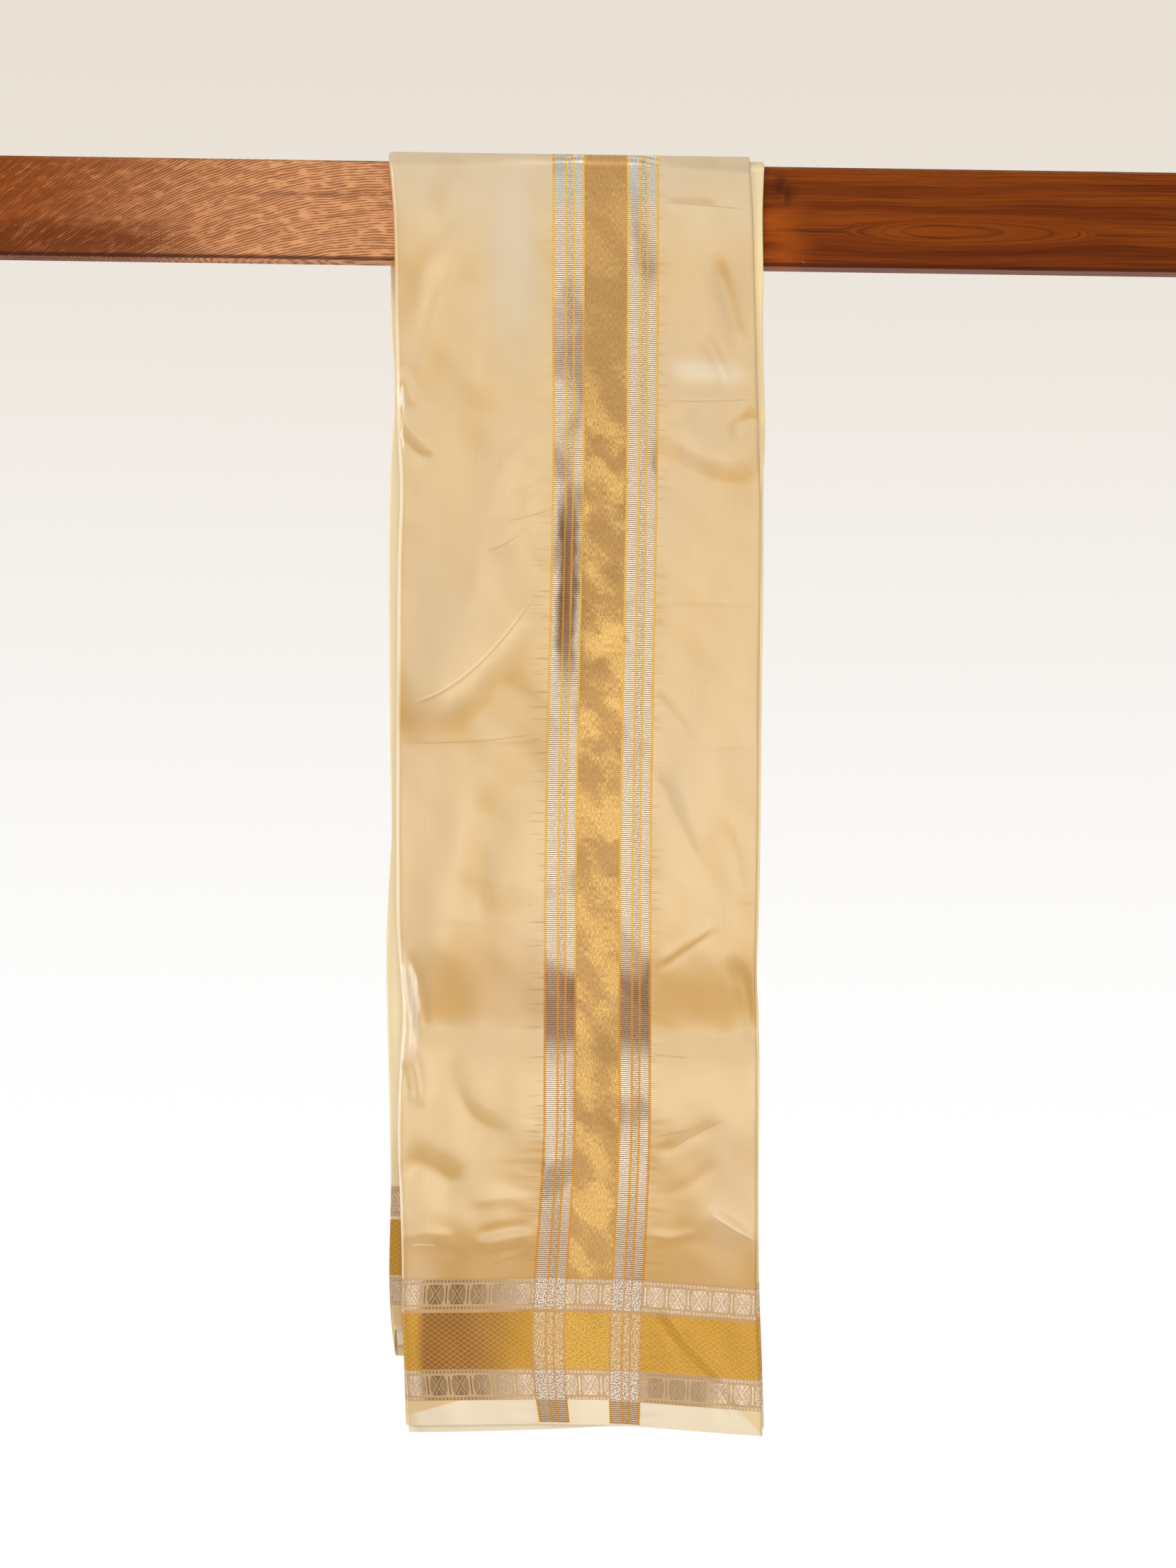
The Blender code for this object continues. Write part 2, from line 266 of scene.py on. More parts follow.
# Pressed fold lines: side of the cloth, height, from and to along the rail, and how far out
PRESSED_LINES = (
    (FRONT, -85, -170, -50, -0.12),
    (FRONT, -280, -165, -110, -0.15),
    (FRONT, -470, -168, -40, -0.26),
    (FRONT, -631, -160, -90, -0.12),
    (FRONT, -140, 62, 140, 0.16),
    (FRONT, -162, 62, 146, 0.22),
    (FRONT, -345, 62, 150, -0.18),
    (FRONT, -472, 60, 150, -0.16),
    (FRONT, -610, 128, 152, -0.24),
    (FRONT, -744, 62, 152, -0.16),
    (BACK, -150, -175, 140, -0.2),
    (BACK, -470, -172, 146, -0.26),
    (BACK, -780, -170, 148, -0.18),
)
PRESSED_HALF_WIDTH = 0.0016
PRESSED_FADE = 0.012

# Fine lines painted on the front fall's silk: light ones are painted highlights along thin ridges, dark
# ones painted shade in thin creases. Places across of their start and end, then the distances from the
# hem at start, middle and end, and half the line's width
HIGHLIGHT_LINES = (
    (-125.8, -8.3, 639.7, 670.7, 743.6, 1.4),
    (149.9, 193.2, 194.3, 182.1, 172.4, 1.3),
    (-112.2, -88.3, 158.9, 160, 158, 1.2),
)
SHADE_LINES = (
    (-132, 0.3, 605.7, 605.4, 612.9, 1.1),
    (96.6, 175.1, 1085, 1085.2, 1084.3, 1.1),
    (97.3, 151.7, 407.8, 425.4, 447.4, 1.2),
    (104.8, 164.4, 242, 263, 280.2, 1.3),
    (94.9, 130.6, 255.8, 261.4, 265.8, 1.4),
    (94.3, 130.1, 330.4, 329.8, 329.8, 1.2),
    (-40.6, -0.8, 140.6, 147.3, 152.2, 1.4),
    (-41.6, -1.6, 800.4, 804, 810.1, 1.2),
    (-58.6, -27.5, 772.9, 779, 788.3, 1.4),
    (98.5, 183.2, 909.4, 912.4, 917.5, 1.1),
    (149.9, 193.2, 191.8, 179.6, 169.9, 1.3),
    (-125.8, -8.3, 637, 668, 740.9, 2.4),
)

# Puckers beside the border, where the metal yarn draws the silk in
PUCKER_SEED = 7
PUCKER_SPACING = (0.0052, 0.0125)
PUCKER_LENGTH = (0.008, 0.034)
PUCKER_DEPTH = (0.00012, 0.00056)
PUCKER_HALF_WIDTH = (0.0018, 0.0034)
PUCKER_SLOPE = 0.16
PUCKER_SPREAD = 12

# On the rail's upper half the cloth lies flat, and the folds rise below it
FOLDS_START = 0.012
FOLDS_RISE = 0.060

# How much painted shade a point gets for a metre of depth in a fold, for a slope that looks down, and in
# a pucker
SHADE_OF_DEPTH = 88
SHADE_OF_LEAN = 3.6
SHADE_OF_PUCKER = 520
STEEPEST = 0.09


def paint(red, green, blue):
    """A linear colour from the usual 0 to 255 values."""
    linear = [((v / 255 + 0.055) / 1.055) ** 2.4 for v in (red, green, blue)]
    return (*linear, 1.0)


# How the cloth is woven, in metres of the flat cloth. Across is counted from the border's left
# edge, and a height in the end band from the hem.
BORDER_WIDTH = 0.0944
STRIPE_WIDTH = 0.0284
TISSUE_WIDTH = 0.0378
GOLD_LINES = ((0.0, 0.0020), (0.0112, 0.0131), (0.0178, 0.0197), (0.0266, 0.0284),
              (0.0662, 0.0680), (0.0768, 0.0787), (0.0835, 0.0853), (0.0925, 0.0944))
NARROW_SILVER = ((0.0131, 0.0178), (0.0787, 0.0835))
RIB_PITCH = 0.0018
LOWER_SILVER = (0.0220, 0.0480)
GOLD_LATTICE = (0.0490, 0.0992)
UPPER_SILVER = (0.1020, 0.1288)
HEM_STRIP = 0.0215
MOTIF_PITCH = 0.0192
LOWER_SHIFT = 0.0020
MOTIF_HALF_WIDTH = 0.0070
MOTIF_HALF_HEIGHT = 0.0086
BAR_HALF_WIDTH = 0.0007
DOT_PITCH = 0.0032
DOT_ROW = (0.0106, 0.0130)
THREAD = 0.0006
WEDGE_TIP = -0.068
WEDGE_SLOPE = 0.26
CORNER_START = 0.182
CORNER_END = 0.212
CROWN_FROM_FRONT = 1.118
CROWN_FROM_BACK = 1.066
TOOTH = 0.0008
TISSUE_LINE_PITCH = 0.0015
LATTICE_WIDTH = 0.0066
LATTICE_HEIGHT = 0.00465


def smooth(value):
    """Runs from 0 to 1 with level ends, and stays there outside them."""
    value = np.clip(value, 0.0, 1.0)
    return value * value * (3 - 2 * value)


def follow(table, column, places):
    """A smooth curve through a column of a table, read at places in its first column."""
    rows = np.array(sorted(table))
    at, values = rows[:, 0], rows[:, column]
    slopes = np.gradient(values, at)
    first = np.clip(np.searchsorted(at, places) - 1, 0, len(at) - 2)
    step = at[first + 1] - at[first]
    t = np.clip((places - at[first]) / step, 0.0, 1.0)
    return (
        (2 * t**3 - 3 * t**2 + 1) * values[first]
        + (t**3 - 2 * t**2 + t) * step * slopes[first]
        + (3 * t**2 - 2 * t**3) * values[first + 1]
        + (t**3 - t**2) * step * slopes[first + 1]
    )


def along_route(points, steps=8):
    """Points close together on a smooth curve through a route's own points."""
    route = np.array(points)
    places = np.arange(len(route), dtype=float)
    fine = np.linspace(0, len(route) - 1, (len(route) - 1) * steps + 1)
    return np.stack(
        [follow(np.column_stack([places, route[:, k]]).tolist(), 1, fine) for k in (0, 1)], axis=1
    )


def crease(x, z, height, left_width, right_width, *points):
    """A crease along a route, fading out towards both of its ends."""
    route = along_route(points)
    total = np.zeros_like(x)
    reach = 2.6 * max(left_width, right_width)
    low, high = route.min(axis=0) - reach, route.max(axis=0) + reach
    near = (x > low[0]) & (x < high[0]) & (z > low[1]) & (z < high[1])
    px, pz = x[near], z[near]
    nearest = np.full(px.shape, np.inf)
    side = np.zeros_like(px)
    travelled = np.zeros_like(px)
    spans = np.hypot(*(route[1:] - route[:-1]).T)
    starts = np.concatenate([[0.0], np.cumsum(spans)])
    for a, b, span, start in zip(route, route[1:], spans, starts):
        dx, dz = (b - a) / span
        t = np.clip((px - a[0]) * dx + (pz - a[1]) * dz, 0.0, span)
        distance = np.hypot(px - a[0] - t * dx, pz - a[1] - t * dz)
        closer = distance < nearest
        nearest[closer] = distance[closer]
        side[closer] = (dx * (pz - a[1]) - dz * (px - a[0]))[closer]
        travelled[closer] = start + t[closer]
    width = np.where(side > 0, left_width, right_width)
    share = travelled / starts[-1]
    fade = smooth(np.minimum(share, 1 - share) / 0.28)
    total[near] = height * fade * np.exp(-((nearest / width) ** 2))
    return total


def cos_sin(degrees):
    """The cosine and the sine of an angle."""
    return math.cos(math.radians(degrees)), math.sin(math.radians(degrees))


def soft_folds(folds, x, z):
    """How far the soft folds move the surface out."""
    total = np.zeros_like(x)
    for middle_x, middle_z, slope, half_length, half_width, height in folds:
        c, s = cos_sin(slope)
        along = (x - middle_x) * c + (z - middle_z) * s
        across = (z - middle_z) * c - (x - middle_x) * s
        total += height * np.exp(-((along / half_length) ** 4) - (across / half_width) ** 2)
    return total


def drift(x, z):
    """The faint unevenness that all hanging cloth has."""
    return (
        0.00035 * np.sin(61 * x + 11 * z + 1.3) * np.sin(23 * z + 0.4)
        + 0.00025 * np.sin(97 * x - 29 * z + 2.1)
        + 0.00022 * np.sin(47 * z + 35 * x + 0.7) * np.sin(71 * x + 1.9)
        + 0.00012 * np.sin(173 * x + 83 * z) * np.sin(59 * z - 41 * x)
    )


def folds_out(side, x, z):
    """How far the folds of one fall move every layer out."""
    front = side == FRONT
    total = soft_folds(FRONT_FOLDS if front else BACK_FOLDS, x / MM, z / MM)
    for row in FRONT_CREASES if front else BACK_CREASES:
        total += crease(x / MM, z / MM, *row) * CREASE_STRENGTH
    return total * MM + drift(x, z)


def fine_out(side, x, z, border_left, border_right):
    """The pressed lines and the puckers beside the border, on the outer layer alone."""
    total = np.zeros_like(x)
    for line_side, *line in PRESSED_LINES:
        if line_side == side:
            height, start, end, depth = (value * MM for value in line)
            inside = smooth((x - start) / PRESSED_FADE) * smooth((end - x) / PRESSED_FADE)
            total += depth * inside * np.exp(-(((z - height) / PRESSED_HALF_WIDTH) ** 2))
    dice = np.random.default_rng(PUCKER_SEED + side)
    for edge, direction in ((border_left, -1), (border_right, 1)):
        height = z.max()
        while height > z.min() + 0.010:
            height -= dice.uniform(*PUCKER_SPACING)
            strong = 0.45 + 0.55 * float(smooth((-0.68 - height) / 0.12))
            length = dice.uniform(*PUCKER_LENGTH) * strong
            depth = -dice.uniform(*PUCKER_DEPTH) * strong
            half_width = dice.uniform(*PUCKER_HALF_WIDTH)
            slope = dice.uniform(-PUCKER_SLOPE, PUCKER_SLOPE)
            out = (x - edge) * direction
            near = (np.abs(z - height) < 0.020) & (out > -0.004) & (out < 0.06)
            away = out[near]
            wider = half_width * (1 + PUCKER_SPREAD * np.clip(away, 0, 1))
            level = (z[near] - height - slope * away) / wider
            shape = np.exp(-((away / length) ** 2) - level**2)
            total[near] += depth * smooth((away + 0.003) / 0.004) * shape
    return total * smooth((RAIL_TOP - z) / 0.030)


def around_rail(run, lift):
    """The (y, z) of a lift over the rail, a run away from the middle of its crown."""
    far = np.abs(run)
    turn = np.clip((far - CROWN_HALF) / RAIL_EDGE, 0.0, math.pi / 2)
    y = np.minimum(far, CROWN_HALF) + (RAIL_EDGE + lift) * np.sin(turn)
    down = np.maximum(far - CROWN_HALF - CORNER_RUN, 0.0)
    z = RAIL_TOP - RAIL_EDGE + (RAIL_EDGE + lift) * np.cos(turn) - down
    return -np.sign(run) * y, z


def run_of(z):
    """The run at a height on either fall."""
    return CROWN_HALF + CORNER_RUN + RAIL_TOP - RAIL_EDGE - z


class Rows:
    """The rows along the whole cloth, from the back hem over the rail to the front hem."""

    def __init__(self, every=1):
        half = [CROWN_HALF * i / CROWN_ROWS for i in range(CROWN_ROWS)]
        half += [CROWN_HALF + CORNER_RUN * i / CORNER_ROWS for i in range(CORNER_ROWS)]
        half += [CROWN_HALF + CORNER_RUN + FACE_RUN * i / FACE_ROWS for i in range(FACE_ROWS + 1)]
        turn = np.array([-run for run in half[:0:-1]] + half)
        back = np.arange(BACK_ROWS, 0, -1) / BACK_ROWS
        front = np.arange(1, FRONT_ROWS + 1) / FRONT_ROWS
        run = np.concatenate([np.full(BACK_ROWS, -LOWER_EDGE_RUN), turn,
                              np.full(FRONT_ROWS, LOWER_EDGE_RUN)])
        share = np.concatenate([back, np.zeros(len(turn)), front])
        keep = np.arange(0, len(run), every)
        if keep[-1] != len(run) - 1:
            keep = np.append(keep, len(run) - 1)
        self.turn_run, self.share = run[keep], share[keep]
        self.side = np.where(self.turn_run >= 0, FRONT, BACK)
        front_length, back_length = run_of(FRONT_HEMS[2][1] * MM), run_of(BACK_HEMS[1][1] * MM)
        nominal = np.where(self.side == FRONT, front_length, back_length)
        far = np.abs(self.turn_run) + self.share * (nominal - LOWER_EDGE_RUN)
        height = (RAIL_TOP - np.maximum(far - CROWN_HALF, 0.0)) / MM
        blend = smooth(0.5 + self.turn_run / (2 * CROWN_HALF))
        self.edges = {
            name: (blend * follow(FRONT_EDGES, name, height)
                   + (1 - blend) * follow(BACK_EDGES, name, height)) * MM
            for name in (LEFT, BORDER_LEFT, BORDER_RIGHT, RIGHT, LIP)
        }
        low = smooth((LOWER_EDGE_RUN - far) / FACE_RUN)
        pitch = FALL_PITCH + (TOP_PITCH - FALL_PITCH) * low
        self.outer_lift = GAP + HIDDEN_LAYERS * pitch + GAP + WALL
        self.layer_lifts = [GAP + (k + LAYER_PLACE) * pitch for k in range(HIDDEN_LAYERS)]


def sheet_points(rows, x, lift, hems):
    """The points of a sheet from its places across, its lifts and its hems' heights."""
    side = rows.side[:, None]
    hem_run = np.where(side == FRONT, run_of(hems[FRONT]), run_of(hems[BACK]))
    far = np.abs(rows.turn_run)[:, None] + rows.share[:, None] * (hem_run - LOWER_EDGE_RUN)
    run = np.where(rows.turn_run >= 0, 1, -1)[:, None] * far
    z = around_rail(run, lift)[1]
    folds = np.zeros_like(x)
    for fall in (FRONT, BACK):
        rows_here = rows.side == fall
        folds[rows_here] = folds_out(fall, x[rows_here], z[rows_here])
    out = folds * smooth((FOLDS_START - z) / FOLDS_RISE)
    front_hem = run_of(hems[FRONT]) - run
    back_hem = run + run_of(hems[BACK])
    return run, z, out, dip_of(run, folds), front_hem, back_hem


def hem_heights(x, layer):
    """Heights of a layer's two hems at places across, for the front and the back fall."""
    tables = {FRONT: FRONT_HEMS, BACK: BACK_HEMS}
    return {fall: follow(table, layer, x / MM) * MM for fall, table in tables.items()}


def hem_sway(front_hem, back_hem, x, amount):
    """Lets a layer stand off a little at its hems."""
    nearer = np.minimum(front_hem, back_hem)
    wave = 0.55 + 0.45 * np.sin(38 * x + 0.6) * np.sin(17 * x + 2.0)
    return amount * wave * smooth((0.055 - nearer) / 0.055)


def dip_of(run, out):
    """Painted shade from 0 to 1 for each point: more where it lies deep in a fold and where its slope
    looks down.
    """
    lean = np.gradient(out, axis=0) / np.maximum(np.abs(np.gradient(run, axis=0)), 0.0005)
    lean = np.clip(lean * np.where(run >= 0, 1, -1), -STEEPEST, STEEPEST)
    return np.clip(0.5 - SHADE_OF_DEPTH * out - SHADE_OF_LEAN * lean, 0.0, 1.0)


def flat_across(x, lift, border=slice(0, 0)):
    """How far each point lies across the flat cloth from the first one."""
    steps = np.hypot(np.diff(x, axis=1), np.diff(lift, axis=1))
    steps[:, border] = BORDER_WIDTH / BORDER_COLUMNS
    return np.concatenate([np.zeros((len(x), 1)), np.cumsum(steps, axis=1)], axis=1)


def build_sheet(name, silk, places, cut, form):
    """A mesh object from a grid of places. Each point keeps where it lies on the flat cloth, from
    the border and from both hems, and its form: the painted shade of its fold, how far turned
    under, and how far from the left fold."""
    points, cut, form = (np.stack(np.broadcast_arrays(*grid), -1) for grid in (places, cut, form))
    count_rows, count_columns, _ = points.shape
    index = np.arange(count_rows * count_columns).reshape(count_rows, count_columns)
    quads = np.stack([index[:-1, :-1], index[1:, :-1], index[1:, 1:], index[:-1, 1:]], axis=-1)
    mesh = bpy.data.meshes.new(name)
    mesh.from_pydata(points.reshape(-1, 3).tolist(), [], quads.reshape(-1, 4).tolist())
    for label, values in (("cut", cut), ("form", form)):
        kept = mesh.attributes.new(label, "FLOAT_VECTOR", "POINT")
        kept.data.foreach_set("vector", values.reshape(-1).astype(np.float32))
    mesh.shade_smooth()
    mesh.materials.append(silk)
    made = bpy.data.objects.new(name, mesh)
    bpy.context.scene.collection.objects.link(made)
    return made


def outer_layer(silk):
    """The layer that shows, with the fold at its left side and the fold at its right side."""
    rows = Rows()
    left, right = rows.edges[LEFT], rows.edges[RIGHT]
    border_left, border_right = rows.edges[BORDER_LEFT], rows.edges[BORDER_RIGHT]
    high = rows.outer_lift
    second, fourth = rows.layer_lifts[2], rows.layer_lifts[0]
    waist = high - LEFT_FOLD
    small = waist - fourth
    xs, lifts, turns = [], [], []

    def column(x, lift, turn=0.0):
        xs.append(x)
        lifts.append(lift + np.zeros_like(x))
        turns.append(turn)

    for share in (1.0, 0.5):
        column(left + small + (JOIN_LEFT - small) * share, fourth, 2.0)
    for degrees in (-90, -45):
        c, s = cos_sin(degrees)
        column(left + small * (1 - c), waist + s * small, 2.0)
    for degrees in (0, 22, 45, 68):
        c, s = cos_sin(degrees)
        column(left + LEFT_FOLD * (1 - c), waist + s * LEFT_FOLD, 1 - degrees / 90)
    start = left + LEFT_FOLD
    radius = (high - second) / 2
    end = right - radius
    for first, last, count in (
        (start, border_left, PANEL_COLUMNS),
        (border_left, border_right, BORDER_COLUMNS),
        (border_right, end, RIGHT_COLUMNS),
    ):
        for i in range(count):
            column(first + (last - first) * i / count, high)
    border_last = len(xs) - RIGHT_COLUMNS
    border_first = border_last - BORDER_COLUMNS
    for degrees in (90, 45, 0, -45, -90):
        c, s = cos_sin(degrees)
        column(end + c * radius, high - radius + s * radius)
    for share in (0.5, 1.0):
        column(end - (JOIN_RIGHT - radius) * share, second)

    x, lift, turn = np.stack(xs, axis=1), np.stack(lifts, axis=1), np.array(turns)
    own, inner = hem_heights(x, 1), hem_heights(x, 4)
    behind = smooth((turn - 0.4) / 1.2)
    hems = {fall: own[fall] * (1 - behind) + inner[fall] * behind for fall in (FRONT, BACK)}
    run, z, out, dip, front_hem, back_hem = sheet_points(rows, x, lift, hems)
    face = np.arange(x.shape[1])
    on_face = (face >= FIRST_FACE_COLUMN) & (face <= border_last + RIGHT_COLUMNS + 1)
    for fall in (FRONT, BACK):
        here = rows.side == fall
        edges = (edge[here][:, None] for edge in (border_left, border_right))
        fine = fine_out(fall, x[here], z[here], *edges) * on_face
        out[here] += fine
        # The puckers get painted shade too
        dip[here] = np.clip(dip[here] - SHADE_OF_PUCKER * fine, 0.0, 1.0)
    out += hem_sway(front_hem, back_hem, x, OUTER_SWAY) * on_face
    y, z = around_rail(run, lift + out)
    across = flat_across(x, lift, slice(border_first, border_last))
    across -= across[:, border_first:border_first + 1]
    form = (dip, turn, x - left[:, None])
    return build_sheet("outer_layer", silk, (x, y, z), (across, front_hem, back_hem), form)


def middle_layers(silk):
    """The second and third layers, joined by the fold inside the left side."""
    rows = Rows(HIDDEN_STEP)
    left, right, lip = rows.edges[LEFT], rows.edges[RIGHT], rows.edges[LIP]
    second, third = rows.layer_lifts[2], rows.layer_lifts[1]
    radius = (second - third) / 2
    turn_x = left + LEFT_INSET + radius
    shares = np.arange(HIDDEN_COLUMNS + 1) / HIDDEN_COLUMNS
    columns = [(right - JOIN_RIGHT + (turn_x - right + JOIN_RIGHT) * share, second, 2)
               for share in shares]
    for degrees in (45, 0, -45):
        c, s = cos_sin(degrees)
        columns.append((turn_x - c * radius, (second + third) / 2 + s * radius, 2.5))
    columns += [(turn_x + (lip - LIP_INSET - turn_x) * share, third, 3) for share in shares]
    xs, lifts, layer = zip(*columns)
    x, lift, layer = np.stack(xs, axis=1), np.stack(lifts, axis=1), np.array(layer)
    upper, lower, outer = hem_heights(x, 2), hem_heights(x, 3), hem_heights(x, 1)
    beside = smooth((x - right[:, None] + JOIN_RIGHT + 0.04) / 0.04) * (layer == 2)
    hems = {}
    for fall in (FRONT, BACK):
        own = np.where(layer < 3, upper[fall], lower[fall])
        inner = smooth((x - turn_x[:, None]) / 0.030)
        own = np.where(layer == 3, inner * lower[fall] + (1 - inner) * upper[fall], own)
        hems[fall] = own * (1 - beside) + outer[fall] * beside
    run, z, out, dip, front_hem, back_hem = sheet_points(rows, x, lift, hems)
    out += hem_sway(front_hem, back_hem, x, MIDDLE_SWAY) * (layer < 2.5)
    y, z = around_rail(run, lift + out)
    across = flat_across(x, lift) + 2.3 * BORDER_WIDTH
    cut = (across, front_hem, back_hem)
    return build_sheet("middle_layers", silk, (x, y, z), cut, (dip, 0.0, 1.0))


def innermost_layer(silk):
    """The layer on the wood, from inside the left fold to its selvedge at the lip."""
    rows = Rows(HIDDEN_STEP)
    left, lip = rows.edges[LEFT], rows.edges[LIP]
    shares = np.arange(HIDDEN_COLUMNS + 1)[None, :] / HIDDEN_COLUMNS
    x = (left + JOIN_LEFT)[:, None] + (lip - left - JOIN_LEFT)[:, None] * shares
    lift = rows.layer_lifts[0][:, None] + np.zeros_like(x)
    hems = hem_heights(x, 4)
    run, z, out, dip, front_hem, back_hem = sheet_points(rows, x, lift, hems)
    y, z = around_rail(run, lift + out)
    across = -(x - left[:, None]) - 1.6 * BORDER_WIDTH
    cut = (across, front_hem, back_hem)
    return build_sheet("innermost_layer", silk, (x, y, z), cut, (dip, 2.0, 1.0))


SHADER_SOCKETS = {
    "sheen_weight": "Sheen Weight",
    "sheen_roughness": "Sheen Roughness",
    "sheen_tint": "Sheen Tint",
    "specular_ior_level": "Specular IOR Level",
}


class Number:
    """A number in a material, so that a formula in nodes reads as a formula."""

    def __init__(self, nodes, socket):
        self.nodes, self.socket = nodes, socket

    def __add__(self, other):
        return self.nodes.math("ADD", self, other)

    def __sub__(self, other):
        return self.nodes.math("SUBTRACT", self, other)

    def __rsub__(self, other):
        return self.nodes.math("SUBTRACT", other, self)

    def __mul__(self, other):
        return self.nodes.math("MULTIPLY", self, other)

    def __truediv__(self, other):
        return self.nodes.math("DIVIDE", self, other)

    def __gt__(self, other):
        return self.nodes.math("GREATER_THAN", self, other)

    def __lt__(self, other):
        return self.nodes.math("LESS_THAN", self, other)

    def __abs__(self):
        return self.nodes.math("ABSOLUTE", self)

    __radd__ = __add__
    __rmul__ = __mul__


class Nodes:
    """The nodes of one material or world."""

    def __init__(self, owner):
        owner.use_nodes = True
        self.tree = owner.node_tree
        self.tree.nodes.clear()

    def node(self, kind, **settings):
        made = self.tree.nodes.new(kind)
        for name, value in settings.items():
            setattr(made, name, value)
        return made

    def put(self, value, socket):
        """Gives a socket a number, a colour or another socket."""
        if isinstance(value, Number):
            value = value.socket
        if isinstance(value, bpy.types.NodeSocket):
            self.tree.links.new(value, socket)
        else:
            socket.default_value = value

    def math(self, operation, *values):
        made = self.node("ShaderNodeMath", operation=operation)
        for value, socket in zip(values, made.inputs):
            self.put(value, socket)
        return Number(self, made.outputs[0])

    def between(self, value, low, high):
        """1 where a value lies between two others, and 0 elsewhere."""
        return (value > low) * (value < high)

    def most(self, *values):
        """The largest of several numbers."""
        top = values[0]
        for value in values[1:]:
            top = self.math("MAXIMUM", top, value)
        return top

    def wave(self, value, pitch, phase=0.0):
        """Runs between 0 and 1 with a pitch."""
        return self.math("SINE", value * (2 * math.pi / pitch) + phase) * 0.5 + 0.5

    def part(self, value, pitch):
        """Where a value lies within its repeat, from -0.5 to 0.5."""
        return self.math("FRACT", value * (1 / pitch)) - 0.5

    def ramp(self, value, low, high):
        """Runs smoothly from 0 at one value to 1 at another."""
        made = self.node("ShaderNodeMapRange", interpolation_type="SMOOTHSTEP")
        self.put(value, made.inputs["Value"])
        made.inputs["From Min"].default_value = low
        made.inputs["From Max"].default_value = high
        return Number(self, made.outputs["Result"])

    def vector(self, x, y, z):
        made = self.node("ShaderNodeCombineXYZ")
        for value, socket in zip((x, y, z), made.inputs):
            self.put(value, socket)
        return made.outputs[0]

    def window(self, value, start, full, fade, end):
        """Rises from 0 to 1 between two values, and falls back to 0 between two others."""
        return self.ramp(value, start, full) * self.ramp(value, end, fade)

    def kept(self, name):
        """A vector that the mesh's points keep."""
        return self.node("ShaderNodeAttribute", attribute_name=name).outputs["Vector"]

    def place(self, kind):
        return self.node("ShaderNodeTexCoord").outputs[kind]

    def split(self, vector):
        """The three numbers in a vector."""
        made = self.node("ShaderNodeSeparateXYZ")
        self.put(vector, made.inputs[0])
        return [Number(self, socket) for socket in made.outputs]

    def noise(self, place, scale=1.0, detail=2.0, rough=0.5):
        made = self.node("ShaderNodeTexNoise")
        self.put(place, made.inputs["Vector"])
        made.inputs["Scale"].default_value = scale
        made.inputs["Detail"].default_value = detail
        made.inputs["Roughness"].default_value = rough
        return Number(self, made.outputs["Fac"])

    def mix(self, first, second, share):
        """A colour between two others."""
        made = self.node("ShaderNodeMix", data_type="RGBA")
        self.put(share, made.inputs["Factor"])
        self.put(first, made.inputs["A"])
        self.put(second, made.inputs["B"])
        return made.outputs["Result"]

    def lay(self, colour, *coats):
        """A colour under coats, each a colour from 0 to 255 values and the share that covers."""
        for tone, share in coats:
            colour = self.mix(colour, paint(*tone), share)
        return colour

    def bump(self, height, distance):
        made = self.node("ShaderNodeBump")
        self.put(height, made.inputs["Height"])
        made.inputs["Distance"].default_value = distance
        return made.outputs["Normal"]

    def surface(self, colour, roughness, metallic=0.0, normal=None, **fixed):
        """Ends the material in one Principled shader."""
        shader = self.node("ShaderNodeBsdfPrincipled")
        self.put(colour, shader.inputs["Base Color"])
        self.put(roughness, shader.inputs["Roughness"])
        self.put(metallic, shader.inputs["Metallic"])
        if normal is not None:
            self.put(normal, shader.inputs["Normal"])
        for name, value in fixed.items():
            shader.inputs[SHADER_SOCKETS[name]].default_value = value
        end = self.node("ShaderNodeOutputMaterial")
        self.tree.links.new(shader.outputs[0], end.inputs["Surface"])


# Windows on the flat cloth or along the fall: a tone rises between the first two values and fades
# between the last two
SHEEN_WINDOW = (0.90, 1.02, 1.125, 1.170)
SMEAR_WINDOW = (0.098, 0.120, 0.150, 0.184)
HIGHLIGHT_LOW = (0.312, 0.350, 0.404, 0.412)
HIGHLIGHT_HIGH = (0.862, 0.872, 0.930, 0.940)
SHADE_STREAK_WINDOW = (0.642, 0.700, 0.790, 0.850)
LOW_BAND_SHADE_WINDOW = (0.084, 0.106, 0.146, 0.170)
LEFT_GLINT_WINDOW = (-0.119, -0.113, -0.104, -0.094)

# Distances from the front hem, and places across, of single marks
SMEAR_PLACE = 0.938
TROUGH_PLACE = 0.362
SHADE_STREAK_ACROSS = 0.0150
SHEEN_ACROSS = -0.034
BARE_HEM = 0.0016
FABRIC_PITCH = 0.0009
RULED_PITCH = 0.0016
BUMP_DEPTH = 0.00022


